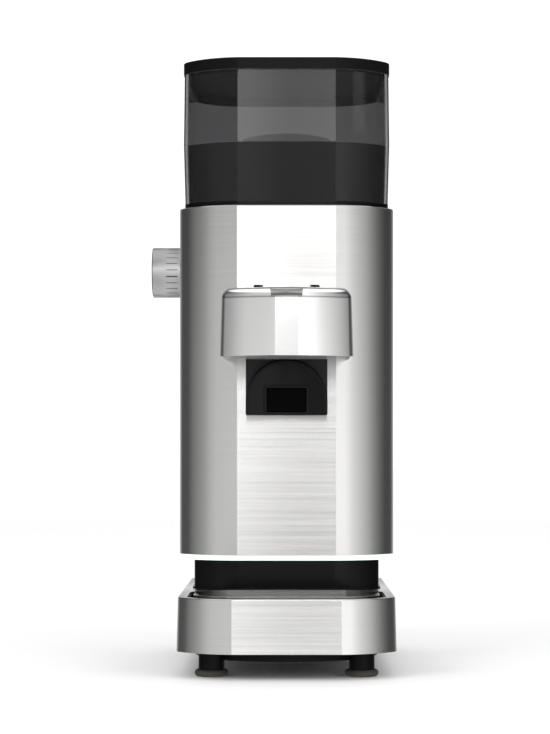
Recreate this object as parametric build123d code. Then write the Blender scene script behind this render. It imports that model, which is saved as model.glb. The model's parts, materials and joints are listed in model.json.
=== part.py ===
from build123d import *

import os
from math import acos, cos, pi, radians, sin, sqrt, tan

# Burr coffee grinder: a brushed steel tower on a steel base, with a smoke hopper on top.
#
# Millimetres, +Z up, the front faces -Y. The origin is on the worktop, at the centre of the four feet.
# The tower, hopper, neck and light ring share one plan: a flat front and back, a slight crease, then a wide
# arc and a tight one into straight sides. The coffee path is hopper, funnel, burrs, chute, and the filter
# holder that is pushed into the cradle under the hood.

os.makedirs("parts", exist_ok=True)

# ---------------------------------------------------------------- driving dimensions
# Plan of the tower and of the base
BODY_WIDTH = 153.4
BODY_DEPTH = 156.0
BODY_FRONT_Y = -37.0
BASE_WIDTH = 148.6
BASE_DEPTH = 244.0
BODY_WIDE_R = 56.4
BODY_TIGHT_R = 15.0
BASE_WIDE_R = 51.2
BASE_TIGHT_R = 13.0
WIDE_CORNER_SWEEP = 50.0
FACE_CREASE = 5.0
SMALLEST_CORNER_R = 1.0

# Heights above the worktop
PAD_HEIGHT = 4.7
POST_BOTTOM_Z = 4.0
PAN_BOTTOM_Z = 10.7
SKIRT_BOTTOM_Z = 17.5
BASE_HEIGHT = 36.5
NECK_HEIGHT = 21.0
LIGHT_RING_THICKNESS = 3.7
SLEEVE_HEIGHT = 247.0
HOPPER_HEIGHT = 95.9
LID_HEIGHT = 8.0

# Sheet and wall thicknesses
SHEET = 1.2
NECK_WALL = 3.0
PLASTIC_WALL = 2.5
HOPPER_WALL = 2.5
PLATE = 3.0

# Clearances
SLIP = 0.3
SLIDE_GAP = 0.5
RUNNING_GAP = 0.05
SEAT = 0.02

# Base
BASE_DRAFT = 1.5
DECK_RIM_SIDE = 6.2
DECK_RIM_FRONT = 4.0
WELL_REAR_Y = -34.0
WELL_CORNER_R = 22.0
TRAY_DEPTH = 65.0
TRAY_WIDTH = 126.6
TRAY_FRONT_INSET = 13.0
TRAY_CORNER_R = 24.0
TRAY_DISH = 7.0
TRAY_PROUD = 0.9
TRAY_RIM_WIDTH = 2.2
TRAY_SHEET = 0.9
TUB_FLOOR = 2.0
PAN_END_R = 64.0
PAN_FRONT_INSET = 12.0
PAN_WALL = 2.5
FOOT_X = 50.8
FOOT_Y = 90.0
POST_R = 8.8
PAD_R = 11.5
PAD_SEAT_GAP = 0.05
PAD_STUD_R = 4.0
PAD_STUD_LENGTH = 5.0

# Neck and light ring
NECK_INSET = 10.5
NECK_FLANGE = 1.2
NECK_FLANGE_THICKNESS = 1.0
LIGHT_RING_INSET = 1.0
LIGHT_RING_BAND = 24.0
NECK_BOSS_R = 5.5
BOARD_THICKNESS = 1.6
SCREW_R = 2.0
THREAD_GAP = 0.02
SCREW_HEAD_R = 3.6
SCREW_HEAD_HEIGHT = 2.4

# Hopper and lid
HOPPER_TOP_INSET = 3.4
HOPPER_WAIST_INSET = 2.8
HOPPER_FOOT_INSET = 3.9
HOPPER_WAIST_HEIGHT = 44.9
HOPPER_BASE_HEIGHT = 3.2
HOPPER_SEAT_GAP = 0.3
FUNNEL_THROAT_R = 22.0
FUNNEL_MOUTH_R = 66.0
FUNNEL_WALL = 2.0
FUNNEL_RIM = 2.6
FUNNEL_SKIRT = 1.6
FUNNEL_FIT = 0.1
SPIGOT_R = 26.0
SPIGOT_LENGTH = 13.0
GUARD_R = 33.5
GUARD_HEIGHT = 16.2
GUARD_WALL = 2.0
GUARD_DOME_R = 120.0
GUARD_WINDOWS = 6
LID_INSET = 2.8
LID_CEILING = 4.6
SEAL_THICKNESS = 0.7

# Hood, its plate and its two buttons
HOOD_WIDTH = 91.0
HOOD_REACH = 65.0
HOOD_BOTTOM_Z = 216.6
HOOD_HEIGHT = 46.9
HOOD_WIDE_R = 70.5
HOOD_TIGHT_R = 8.0
HOOD_SWEEP = 35.0
HOOD_DRAFT = 1.8
HOOD_FILLET = 8.0
HOOD_WALL = 2.0
HOOD_PLATE_LOW_DROP = 7.0
HOOD_PLATE_RUN = 25.0
HOOD_PLATE_WIDTH = 30.0
HOOD_PLATE_THICKNESS = 1.0
HOOD_PLATE_SETBACK = 2.5
CUP_BUTTON_X = 19.2
CUP_BUTTON_R = 3.3
CUP_BUTTON_FLANGE = 0.6
CUP_BUTTON_INSET = 15.5
CUP_BUTTON_PROUD = 1.5
CUP_BUTTON_TRAVEL = 0.8

# Filter holder cradle and its start button
CRADLE_WIDTH = 57.1
CRADLE_BOTTOM_Z = 177.2
CRADLE_BLOCK_REACH = 10.0
ARCH_THICKNESS = 6.0
ARCH_CHEEK = 2.2
ARCH_SCOOP_DEPTH = 4.0
BEZEL_WIDTH = 32.5
BEZEL_HEIGHT = 20.5
BEZEL_PROUD = 1.8
BEZEL_RIM = 1.65
START_WIDTH = 27.3
START_HEIGHT = 17.0
START_LENGTH = 14.0
START_PROUD = 0.8
START_TRAVEL = 3.5
PLATE_NOTCH = 26.0

# Grind dial
DIAL_Z = 284.7
DIAL_R = 18.45
DIAL_LENGTH = 22.0
DIAL_GAP = 0.5
DIAL_WALL = 2.2
DIAL_MARKS = 24
DIAL_MARK_LENGTH = 8.5
DIAL_MARK_WIDTH = 0.55
DIAL_MARK_DEPTH = 0.35
DIAL_SHAFT_R = 3.0
DIAL_PINION_TEETH = 12
DIAL_MODULE = 1.0
DIAL_FACE = 3.0

# Burrs and their chamber, on the tower's centre line
CROWN_TEETH = 96
CROWN_SECTOR = 44.0
CHAMBER_R = 42.0
CHAMBER_BORE_R = 36.1
CHAMBER_FLOOR_Z = 238.0
CHAMBER_FLOOR = 5.0
CHAMBER_TOP_Z = 289.0
CARRIER_WALL = 4.5
BURR_R = 30.0
BURR_RING_HEIGHT = 20.0
BURR_RING_TOP_Z = 276.0
BURR_TOP_R = 9.0
BURR_BOTTOM_R = 25.5
BURR_HEIGHT = 22.0
BURR_BOTTOM_Z = 251.0
BURR_GAP = 0.8
BURR_GROOVES = 9
SPINDLE_R = 5.0
BEARING_R = 11.0
BEARING_HEIGHT = 7.0

# Gear train
GEAR_PRESSURE_ANGLE = 25.0
ADDENDUM = 0.85
DEDENDUM = 1.1
BACKLASH = 0.25
PINION_TEETH = 12
WHEEL_TEETH = 54
FIRST_MODULE = 1.0
IDLER_TEETH = 12
OUTPUT_TEETH = 32
GEAR_CENTRES = (PINION_TEETH + WHEEL_TEETH) * FIRST_MODULE / 2
SECOND_MODULE = 2 * GEAR_CENTRES / (IDLER_TEETH + OUTPUT_TEETH)
FIRST_FACE = 6.0
SECOND_FACE = 8.0
GEARBOX_FLOOR_Z = 187.0
GEARBOX_R = 33.5
GEARBOX_WALL = 3.0
GEARBOX_HEIGHT = 31.0

# Motor
MOTOR_R = 31.0
MOTOR_LENGTH = 82.0
MOTOR_WALL = 2.0
MOTOR_SHAFT_R = 2.5
END_CAP_HEIGHT = 9.0
ROTOR_R = 24.0
ROTOR_LENGTH = 46.0

# Chute
CHUTE_WIDTH = 30.0
CHUTE_HEIGHT = 16.0
CHUTE_WALL = 2.0
CHUTE_OUTLET_Y = -68.0
CHUTE_OUTLET_LENGTH = 26.0
CHUTE_OUTLET_Z = 218.5

# Boards, switches and the cord's way in
CONTROL_BOARD = (84.0, 96.0)
POWER_BOARD = (90.0, 62.0)
POWER_PARTS = ((-24, 20, 26, 24, 20), (14, 18, 16, 12, 14), (24, 44, 22, 14, 12), (-14, 48, 10, 10, 16))
GLAND_R = 7.0
GLAND_BORE_R = 3.6
GLAND_LENGTH = 16.0
GLAND_FLANGE_R = 9.5
GLAND_Z = 34.0

# Edges, cutters and small fits
SOFT_EDGE_R = 0.8
BUTTON_EDGE_R = 0.6
OVERCUT = 5.0
HAIR = 0.001
CROSS_REACH = 2.2
CROSS_HALF = 0.4
CROSS_DEPTH = 0.6
SCREW_RECESS = 3.2
DECK_SCREW_LENGTH = 14.0
HOOD_SCREW_REACH = 7.0

# Bottom cover, tub, tray and lamp board
FRONT_POST_INSET = 30.0
REAR_POST_INSET = 34.0
SIDE_POST_X = 58.0
SIDE_POST_Y = 20.0
COVER_POST_R = 4.5
VENT_SLOTS = 5
VENT_START_Y = 30.0
VENT_PITCH = 9.0
VENT_HALF_LENGTH = 22.0
VENT_HALF_WIDTH = 1.4
TRAY_REST_GAP = 0.2
TUB_FLANGE = 2.5
TRAY_INNER_R = 2.1
TRAY_RIM_HEIGHT = 1.4
LAMP_BOARD_GAP = 1.3
LAMP_BOARD_WIDTH = 6.0
LAMP_PITCH = 30.0
LAMP_HALF_X = 1.4
LAMP_HALF_Y = 1.8
LAMP_HEIGHT = 0.8

# Decks and columns
DUCT_WINDOW_DROP = 10.0
DECK_GAP = 0.15
DECK_DROP = 0.4
DECK_BOSS_LENGTH = 8.0
FLOOR_PLATE_INSET = 9.5
FLOOR_HOLE_R = 18.0
FLOOR_BOSS_HEIGHT = 14.0
FLOOR_BORE_DEPTH = 12.0
LOWER_COLUMN_RATIO = 0.97
PLATE_HOLE_R = 12.0
COLUMN_BORE_DEPTH = 20.0

# Hopper and lid fits
HOPPER_FOOT_PROUD = 0.2
GROOVE_HALF = 0.3
GUARD_WINDOW = (14.0, 20.0, 24.0)
GUARD_WINDOW_Z = 16.0
LID_LIP_GAP = 0.4
LID_LIP = 1.6
SEAL_GAP = 0.2
SEAL_INSET = 0.3
SEAL_LIP_GAP = 0.35

# Hood and cradle fits
HOOD_BEHIND = 20.0
PLATE_SEAT_GAP = 0.15
PLATE_LEDGE = 2.1
CUP_BUTTON_GAP = 0.25
CUP_RELIEF = 0.9
CUP_BUTTON_FOOT = 6.0
CUP_BUTTON_STOP = 1.2
CUP_SWITCH_DROP = 3.2
CUP_SWITCH_HEIGHT = 2.4
CUP_BOARD_MARGIN = 8.0
CUP_BOARD_FRONT = 5.0
HOOD_BORE_DEPTH = 12.0
HOOD_BOSS_R = 4.0
HOOD_BOSS_LENGTH = 12.0
HOOD_BOSS_BORE = 9.0
HOOD_RIB_HALF = 0.8
ARCH_TOP_GAP = 0.4
BLOCK_LIFT = 0.6
BLOCK_TOP_GAP = 0.2
BEZEL_CORNER_R = 2.4
BEZEL_SLEEVE_CORNER_R = 1.4
START_HOLE_CORNER_R = 0.9
START_CORNER_R = 0.7
START_PLAY = 0.6
SWITCH_GAP = 0.4
SWITCH_SIZE = 10.0
SWITCH_RISE = 7.0
SWITCH_FOOT_HALF = 12.0
HOPPER_SWITCH_OUT = 14.0
HOPPER_SWITCH_HALF = 9.0
HOPPER_SWITCH_HEIGHT = 12.0

# Duct and flap
CHUTE_KNEE = 5.0
CHUTE_TOP_DROP = 22.0
FLAP_GAP = 0.2
FLAP_LOW = 10.0
FLAP_HIGH = 22.5
FLAP_THICKNESS = 0.8
FLAP_STRIPS = 5

# Burrs, gears and bearings
BEARING_END_GAP = 0.2
SPINDLE_GAP = 1.2
PORT_INNER_R = 20.0
RACE = 2.2
TOOTH_SLACK = 0.12
TOOTH_TIP_GAP = 0.3
CROWN_FACE_MARGIN = 0.6
CARRIER_GAP = 0.3
CROWN_SEAT = 0.1
KEY_CUT = 40.0
KEY_PLAY = 0.4
KEY_ANGLE = 30.0
RING_GROOVE = (4.0, 2.4, 26.0)
RING_GROOVE_TILT = (18.0, -20.0, 0.0)
RING_GROOVE_PHASE = 7.0
CONE_GROOVE = (4.2, 3.4, 40.0)
CONE_GROOVE_TILT = (-24.0, -37.0, 0.0)
CONE_GROOVE_OUT = 0.9
SWEEPER_GAP = 0.6
SWEEPER_RIM_GAP = 1.2
VANE_R = 24.0
VANE = (20.0, 2.4, 4.8)
SPINDLE_FOOT = 0.4
SPINDLE_THREAD = 7.0
NUT_R = 7.0
NUT_HEIGHT = 5.0
BEARING_BOSS = 2.5
COVER_BOSS_DROP = 3.6
COVER_LIP_BOTTOM = 4.9
COVER_LIP_TOP = 4.1

# Motor
MOTOR_NOSE_R = 9.0
MOTOR_WINDOW = (10.0, 9.0, 12.0)
MOTOR_WINDOW_Z = 14.0
MAGNET_Z = 24.0
MAGNET_GAP = 0.8
CAP_BOSS_R = 7.0
BRUSH_X = 17.0
ROTOR_Z = 26.0
ROTOR_SLOT = (12.0, 2.2)
ROTOR_SLOTS = 12
SHAFT_PROUD = 1.2
WINDING_INSET = 5.0
COMMUTATOR_R = 9.0

# Dial and its block
DIAL_HUB_R = 7.0
DIAL_SOCKET = 5.0
DIAL_MARK_X = 10.6
DIAL_BOLD = 1.9
DIAL_FIRST_MARK = -13.0
DIAL_TIP_TRIM = 0.6
SHAFT_END_GAP = 0.2
BLOCK_WALL_GAP = 0.1
BLOCK_INNER_GAP = 7.0
BLOCK_HALF = 10.0
BLOCK_RISE = 4.5
BLOCK_FLANGE_HALF = 22.0

# Boards and gland
CONTROL_PARTS = ((-26, 24, 18, 16, 12), (4, 30, 14, 14, 2), (28, 22, 12, 20, 16), (-20, 62, 22, 10, 9),
    (20, 68, 10, 10, 3))
BOARD_POST_R = 2.5
GLAND_SEAT = 1.2
GLAND_COLLAR = 4.0
GLAND_NUT_BACK = 8.0
GLAND_NUT_FRONT = 3.5

# ---------------------------------------------------------------- places worked out from them
BASE_TOP_Z = SKIRT_BOTTOM_Z + BASE_HEIGHT
NECK_TOP_Z = BASE_TOP_Z + NECK_HEIGHT
SLEEVE_BOTTOM_Z = NECK_TOP_Z + LIGHT_RING_THICKNESS
SLEEVE_TOP_Z = SLEEVE_BOTTOM_Z + SLEEVE_HEIGHT
HOPPER_BOTTOM_Z = SLEEVE_TOP_Z + HOPPER_SEAT_GAP
HOPPER_TOP_Z = HOPPER_BOTTOM_Z + HOPPER_HEIGHT
WAIST_Z = HOPPER_BOTTOM_Z + HOPPER_WAIST_HEIGHT
SHELL_FOOT_Z = HOPPER_BOTTOM_Z + HOPPER_BASE_HEIGHT
LID_BOTTOM_Z = HOPPER_TOP_Z + SEAL_THICKNESS
BODY_Y = BODY_FRONT_Y + BODY_DEPTH / 2
BODY_REAR_Y = BODY_FRONT_Y + BODY_DEPTH
BASE_FRONT_Y = -BASE_DEPTH / 2
BASE_REAR_Y = BASE_DEPTH / 2
IDLER_Y = BODY_Y + GEAR_CENTRES
PLATE_Z = GEARBOX_FLOOR_Z - PLATE
FLOOR_PLATE_Z = SLEEVE_BOTTOM_Z + SEAT
CARRIER_R = CHAMBER_BORE_R - 0.1
CROWN_PITCH_R = CROWN_TEETH * DIAL_MODULE / 2
CROWN_PITCH_Z = DIAL_Z + DIAL_PINION_TEETH * DIAL_MODULE / 2
CROWN_Z = CROWN_PITCH_Z + DEDENDUM * DIAL_MODULE
CROWN_THICKNESS = 4.0
DIAL_X = -BODY_WIDTH / 2 - DIAL_GAP
HOOD_TOP_Z = HOOD_BOTTOM_Z + HOOD_HEIGHT
HOOD_FRONT_Y = BODY_FRONT_Y - HOOD_REACH
CRADLE_BLOCK_Y = BODY_FRONT_Y - CRADLE_BLOCK_REACH
ARCH_FRONT_Y = CRADLE_BLOCK_Y - ARCH_THICKNESS
ARCH_HOLLOW_R = (CRADLE_WIDTH**2 / 4 + ARCH_SCOOP_DEPTH**2) / (2 * ARCH_SCOOP_DEPTH)
ARCH_HOLLOW_Y = ARCH_FRONT_Y + ARCH_SCOOP_DEPTH - ARCH_HOLLOW_R
BEZEL_Z = CRADLE_BOTTOM_Z + 0.3 + BEZEL_HEIGHT / 2
BEZEL_FRONT_Y = ARCH_FRONT_Y + ARCH_SCOOP_DEPTH - BEZEL_PROUD
START_FRONT_Y = BEZEL_FRONT_Y - START_PROUD
FIRST_WHEEL_Z = GEARBOX_FLOOR_Z + 5.0
SECOND_WHEEL_Z = FIRST_WHEEL_Z + FIRST_FACE + 2.5
GEARBOX_COVER_Z = GEARBOX_FLOOR_Z + GEARBOX_HEIGHT - GEARBOX_WALL
TRAY_FRONT_Y = BASE_FRONT_Y + TRAY_FRONT_INSET
TRAY_FLOOR_Z = BASE_TOP_Z + TRAY_PROUD - TRAY_DISH - TRAY_SHEET
DECK_Z = SLEEVE_TOP_Z - 3.5
BASE_TOP_INSET = BASE_HEIGHT * tan(radians(BASE_DRAFT))
BODY_FAR = 400.0
COVER_INSET = SHEET + SLIP
COVER_PLATE_TOP_Z = SKIRT_BOTTOM_Z + PLASTIC_WALL
NECK_INNER_INSET = NECK_INSET + NECK_WALL
COLUMN_SCREW_X = BODY_WIDTH / 2 - NECK_INNER_INSET - NECK_BOSS_R + 1.0
COLUMN_SCREW_YS = (BODY_FRONT_Y + 34.0, BODY_REAR_Y - 30.0)
TRAY_REAR_Y = TRAY_FRONT_Y + TRAY_DEPTH
NECK_HOLE_INSET = NECK_INNER_INSET + 2 * NECK_BOSS_R + 1.0
HOOD_SCREW_X = 34.0
HOOD_SCREW_ZS = (HOOD_BOTTOM_Z + 12.0, HOOD_TOP_Z - 14.0)
DECK_TUBE_R = SPIGOT_R + SLIDE_GAP + PLASTIC_WALL
DECK_TUBE_BOTTOM_Z = CROWN_Z + CROWN_THICKNESS + 6.0
COLUMN_X = 60.0
COLUMN_YS = (BODY_Y - 50.0, BODY_Y + 50.0)
COLUMN_R = 5.0
CHUTE_INLET_Y = BODY_Y - CHAMBER_R + 2.0
CHUTE_INLET_Z = CHAMBER_FLOOR_Z + CHAMBER_FLOOR
KEY_R = CARRIER_R + 2.0
KEY_WIDTH = 8.0
BURR_TOP_Z = BURR_BOTTOM_Z + BURR_HEIGHT
RING_BURR_BOTTOM_Z = BURR_RING_TOP_Z - BURR_RING_HEIGHT
IDLER_PIN_R = 3.0
DIAL_INNER_X = -(CROWN_PITCH_R - DIAL_FACE / 2)
BOARD_Y = BODY_REAR_Y - 12.0


# ---------------------------------------------------------------- helpers
def plan(width, depth, centre_y, inset, wide, tight, sweep=WIDE_CORNER_SWEEP):
    """Closed face: flat front and back, a crease, a wide arc, a tight one and straight sides."""
    half_w = width / 2 - inset
    half_d = depth / 2 - inset
    r1 = max(wide - inset, SMALLEST_CORNER_R + 0.5)
    r2 = max(tight - inset, SMALLEST_CORNER_R)
    s, c = sin(radians(sweep)), cos(radians(sweep))
    s0, c0 = sin(radians(FACE_CREASE)), cos(radians(FACE_CREASE))
    flat = half_w - r1 * (s - s0) - r2 * (1 - s)
    c1x = flat - r1 * s0
    c1y = half_d - r1 * c0
    c2x = c1x + (r1 - r2) * s
    c2y = c1y + (r1 - r2) * c
    wide_sweep = sweep - FACE_CREASE
    edges = [
        Line((-flat, -half_d), (flat, -half_d)),
        CenterArc((c1x, -c1y), r1, FACE_CREASE - 90, wide_sweep),
        CenterArc((c2x, -c2y), r2, sweep - 90, 90 - sweep),
        Line((half_w, -c2y), (half_w, c2y)),
        CenterArc((c2x, c2y), r2, 0, 90 - sweep),
        CenterArc((c1x, c1y), r1, 90 - sweep, wide_sweep),
        Line((flat, half_d), (-flat, half_d)),
        CenterArc((-c1x, c1y), r1, 90 + FACE_CREASE, wide_sweep),
        CenterArc((-c2x, c2y), r2, 90 + sweep, 90 - sweep),
        Line((-half_w, c2y), (-half_w, -c2y)),
        CenterArc((-c2x, -c2y), r2, 180, 90 - sweep),
        CenterArc((-c1x, -c1y), r1, 270 - sweep, wide_sweep),
    ]
    return Pos(0, centre_y) * make_face(edges)


def body_plan(inset=0.0):
    """The tower's plan, moved inwards by inset."""
    return plan(BODY_WIDTH, BODY_DEPTH, BODY_Y, inset, BODY_WIDE_R, BODY_TIGHT_R)


def base_foot_plan(inset=0.0):
    """The base's plan at the skirt's bottom edge, moved inwards by inset."""
    return plan(BASE_WIDTH, BASE_DEPTH, 0, inset, BASE_WIDE_R, BASE_TIGHT_R)


def base_plan(inset=0.0):
    """The base's plan at its top edge, moved inwards by inset."""
    return base_foot_plan(inset + BASE_TOP_INSET)


def rounded_box(width, depth, radius, x=0.0, y=0.0):
    """Rounded rectangle face about x, y."""
    return Pos(x, y) * RectangleRounded(width, depth, radius)


def prism(face, z0, z1, taper=0.0):
    """Upright solid over a face. A taper draws the top inwards."""
    return extrude(Pos(0, 0, z0) * face, amount=z1 - z0, taper=taper)


def disc(radius, z0, z1, x=0.0, y=BODY_Y):
    """Upright cylinder, on the tower's centre line unless it is told otherwise."""
    return Pos(x, y, (z0 + z1) / 2) * Cylinder(radius, z1 - z0)


def tube(outer, inner, z0, z1, x=0.0, y=BODY_Y):
    """Upright pipe."""
    return disc(outer, z0, z1, x, y) - disc(inner, z0 - 1, z1 + 1, x, y)


def slab(x0, x1, y0, y1, z0, z1):
    """Box between two corners."""
    return Pos((x0 + x1) / 2, (y0 + y1) / 2, (z0 + z1) / 2) * Box(x1 - x0, y1 - y0, z1 - z0)


def along_x(radius, x0, x1, y, z):
    """Cylinder whose axis runs along X."""
    return Pos((x0 + x1) / 2, y, z) * Rot(0, 90, 0) * Cylinder(radius, x1 - x0)


def along_y(radius, y0, y1, x, z):
    """Cylinder whose axis runs along Y."""
    return Pos(x, (y0 + y1) / 2, z) * Rot(90, 0, 0) * Cylinder(radius, y1 - y0)


def around(count, make, start=0.0, centre=(0.0, BODY_Y)):
    """List of count copies of a shape, spread evenly round an upright axis."""
    turn = Pos(centre[0], centre[1], 0)
    return [turn * Rot(0, 0, start + 360 * i / count) * make for i in range(count)]


def front_shape(face, y0, y1):
    """Solid of a face drawn in X and Z, reaching from y0 back to y1."""
    plane = Plane(origin=(0, y0, 0), x_dir=(1, 0, 0), z_dir=(0, -1, 0))
    return extrude(plane * face, amount=-(y1 - y0))


def involute(angle):
    """Involute function of a pressure angle."""
    return tan(angle) - angle


def gear_face(teeth, module, bore):
    """Spur gear outline with a tooth on the +X axis, thinned by half the backlash each side."""
    pitch_r = teeth * module / 2
    base_r = pitch_r * cos(radians(GEAR_PRESSURE_ANGLE))
    tip_r = pitch_r + ADDENDUM * module
    root_r = pitch_r - DEDENDUM * module
    foot_r = max(base_r, root_r + RUNNING_GAP)
    at_pitch = (pi * module / 2 - BACKLASH) / (2 * pitch_r) + involute(radians(GEAR_PRESSURE_ANGLE))

    def half_angle(radius):
        return at_pitch - involute(acos(min(1.0, base_r / radius)))

    def point(radius, angle):
        return (radius * cos(angle), radius * sin(angle))

    step = 2 * pi / teeth
    mid_r = (foot_r + tip_r) / 2
    edges = []
    for i in range(teeth):
        a = i * step
        foot, mid, tip = half_angle(foot_r), half_angle(mid_r), half_angle(tip_r)
        edges.append(Line(point(root_r, a - foot), point(foot_r, a - foot)))
        edges.append(ThreePointArc(point(foot_r, a - foot), point(mid_r, a - mid), point(tip_r, a - tip)))
        edges.append(ThreePointArc(point(tip_r, a - tip), point(tip_r, a), point(tip_r, a + tip)))
        edges.append(ThreePointArc(point(tip_r, a + tip), point(mid_r, a + mid), point(foot_r, a + foot)))
        edges.append(Line(point(foot_r, a + foot), point(root_r, a + foot)))
        gap = a + step / 2
        edges.append(
            ThreePointArc(point(root_r, a + foot), point(root_r, gap), point(root_r, a + step - foot))
        )
    return make_face(edges) - Circle(bore)


def gear(teeth, module, bore, z0, z1, y, tooth_angle):
    """Upright spur gear with the middle of a tooth at tooth_angle, in degrees from +X."""
    return Pos(0, y, z0) * Rot(0, 0, tooth_angle) * extrude(gear_face(teeth, module, bore), amount=z1 - z0)


def screw(x, y, z, length, head_up=False):
    """Pan head screw with its head's seat at z. The shank runs up, or down if head_up."""
    sign = -1 if head_up else 1
    shank = disc(SCREW_R, min(z, z + sign * length), max(z, z + sign * length), x, y)
    head_far = z - sign * SCREW_HEAD_HEIGHT
    head = disc(SCREW_HEAD_R, min(z, head_far), max(z, head_far), x, y)
    slot_z = head_far + sign * 0.5
    cross = slab(x - CROSS_REACH, x + CROSS_REACH, y - CROSS_HALF, y + CROSS_HALF, slot_z - CROSS_DEPTH,
        slot_z + CROSS_DEPTH)
    cross += slab(x - CROSS_HALF, x + CROSS_HALF, y - CROSS_REACH, y + CROSS_REACH, slot_z - CROSS_DEPTH,
        slot_z + CROSS_DEPTH)
    return shank + head - cross


def solids(shapes):
    """One compound of separate solids."""
    return Compound(children=[s for shape in shapes for s in shape.solids()])


def foot_places():
    """Name and place of each foot."""
    return {
        "front_left": (-FOOT_X, -FOOT_Y),
        "front_right": (FOOT_X, -FOOT_Y),
        "rear_left": (-FOOT_X, FOOT_Y),
        "rear_right": (FOOT_X, FOOT_Y),
    }


# ---------------------------------------------------------------- base


def well_face(outset=0.0):
    """Opening in the base's deck above the tray, following the base's front edge."""
    rim = base_plan(DECK_RIM_FRONT - outset)
    half = BASE_WIDTH / 2 - BASE_TOP_INSET - DECK_RIM_SIDE + outset
    rear = WELL_REAR_Y + outset
    front = BASE_FRONT_Y
    box = rounded_box(2 * half, 2 * (rear - front), WELL_CORNER_R + outset, 0, front)
    return rim & box


def neck_hole_face():
    """Opening in the deck under the neck, for the cables and the screws."""
    return body_plan(NECK_HOLE_INSET)


def column_screws(shape_of):
    """A shape at each of the four places where the neck is screwed down."""
    return [shape_of(sx * COLUMN_SCREW_X, sy) for sx in (-1, 1) for sy in COLUMN_SCREW_YS]


def base_shell():
    """Pressed steel skirt and deck with the tray opening and the neck opening."""
    outer = prism(base_foot_plan(), SKIRT_BOTTOM_Z, BASE_TOP_Z, BASE_DRAFT)
    top_edges = outer.edges().group_by(Axis.Z)[-1]
    outer = fillet(top_edges, SOFT_EDGE_R)
    inner = prism(base_foot_plan(SHEET), SKIRT_BOTTOM_Z - 1, BASE_TOP_Z - SHEET, BASE_DRAFT)
    shell = outer - inner
    shell -= prism(well_face(), BASE_TOP_Z - 3 * SHEET, BASE_TOP_Z + 1)
    shell -= prism(neck_hole_face(), BASE_TOP_Z - 3 * SHEET, BASE_TOP_Z + 1)
    bore = lambda x, y: disc(SCREW_R + SLIP, BASE_TOP_Z - OVERCUT, BASE_TOP_Z + OVERCUT, x, y)
    for hole in column_screws(bore):
        shell -= hole
    shell -= along_y(GLAND_R + SLIP, BASE_REAR_Y - 2 * OVERCUT, BASE_REAR_Y + 2 * OVERCUT, 0, GLAND_Z)
    return shell


def pan_face(inset=0.0):
    """Plan of the pan under the base: two half rounds joined by straight sides."""
    radius = PAN_END_R - inset
    length = BASE_DEPTH - 2 * PAN_FRONT_INSET - 2 * inset
    return SlotOverall(length, 2 * radius, rotation=90)


def bottom_cover():
    """Moulded cover that closes the base, with a shallow pan and four foot posts."""
    plate = prism(base_foot_plan(COVER_INSET), SKIRT_BOTTOM_Z, COVER_PLATE_TOP_Z)
    pan = prism(pan_face(), PAN_BOTTOM_Z, SKIRT_BOTTOM_Z)
    pan = fillet(pan.edges().group_by(Axis.Z)[0], 1.5)
    cover = plate + pan - prism(pan_face(PAN_WALL), PAN_BOTTOM_Z + PAN_WALL, COVER_PLATE_TOP_Z + 1)
    for x, y in foot_places().values():
        cover += disc(POST_R, POST_BOTTOM_Z, COVER_PLATE_TOP_Z, x, y)
        cover -= disc(PAD_STUD_R + RUNNING_GAP, POST_BOTTOM_Z - 1, POST_BOTTOM_Z + PAD_STUD_LENGTH + SLIP,
            x, y)
    pillar_top = BASE_TOP_Z - SHEET - SLIP
    for x, y in ((0, BASE_FRONT_Y + FRONT_POST_INSET), (-SIDE_POST_X, SIDE_POST_Y), (SIDE_POST_X,
        SIDE_POST_Y), (0, BASE_REAR_Y - REAR_POST_INSET)):
        height = TRAY_FLOOR_Z - 2 * TUB_FLOOR - 1 if y < WELL_REAR_Y else pillar_top
        cover += disc(COVER_POST_R, PAN_BOTTOM_Z + PAN_WALL - 0.5, height, x, y)
        cover -= disc(SCREW_R + THREAD_GAP, height - 2 * OVERCUT, height + 1, x, y)
    for hole in column_screws(lambda x, y: disc(SCREW_HEAD_R + 2, PAN_BOTTOM_Z - 1, COVER_PLATE_TOP_Z + 1,
        x, y)):
        cover -= hole
    for slot_y in range(VENT_SLOTS):
        y = VENT_START_Y + VENT_PITCH * slot_y
        cover -= slab(-VENT_HALF_LENGTH, VENT_HALF_LENGTH, y - VENT_HALF_WIDTH, y + VENT_HALF_WIDTH,
            PAN_BOTTOM_Z - 1, PAN_BOTTOM_Z + PAN_WALL + 1)
    return cover


def foot_pad(x, y):
    """Soft pad with a round edge, and a recess and a stud that the post is pressed into."""
    half = PAD_HEIGHT / 2
    rim = PAD_R - half
    seat_r = POST_R + PAD_SEAT_GAP
    stud_top = POST_BOTTOM_Z + PAD_STUD_LENGTH
    profile = make_face(
        [
            Line((0, 0), (rim, 0)),
            ThreePointArc((rim, 0), (PAD_R, half), (rim, PAD_HEIGHT)),
            Line((rim, PAD_HEIGHT), (seat_r, PAD_HEIGHT)),
            Line((seat_r, PAD_HEIGHT), (seat_r, POST_BOTTOM_Z)),
            Line((seat_r, POST_BOTTOM_Z), (PAD_STUD_R, POST_BOTTOM_Z)),
            Line((PAD_STUD_R, POST_BOTTOM_Z), (PAD_STUD_R, stud_top)),
            Line((PAD_STUD_R, stud_top), (0, stud_top)),
            Line((0, stud_top), (0, 0)),
        ]
    )
    return Pos(x, y, 0) * revolve(Plane.XZ * profile, Axis.Z)


def tray_face(inset=0.0):
    """Plan of the removable tray: straight front, rounder back."""
    width = TRAY_WIDTH - 2 * inset
    depth = TRAY_DEPTH - 2 * inset
    radius = TRAY_CORNER_R - inset
    return rounded_box(width, depth, radius, 0, (TRAY_FRONT_Y + TRAY_REAR_Y) / 2)


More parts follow.
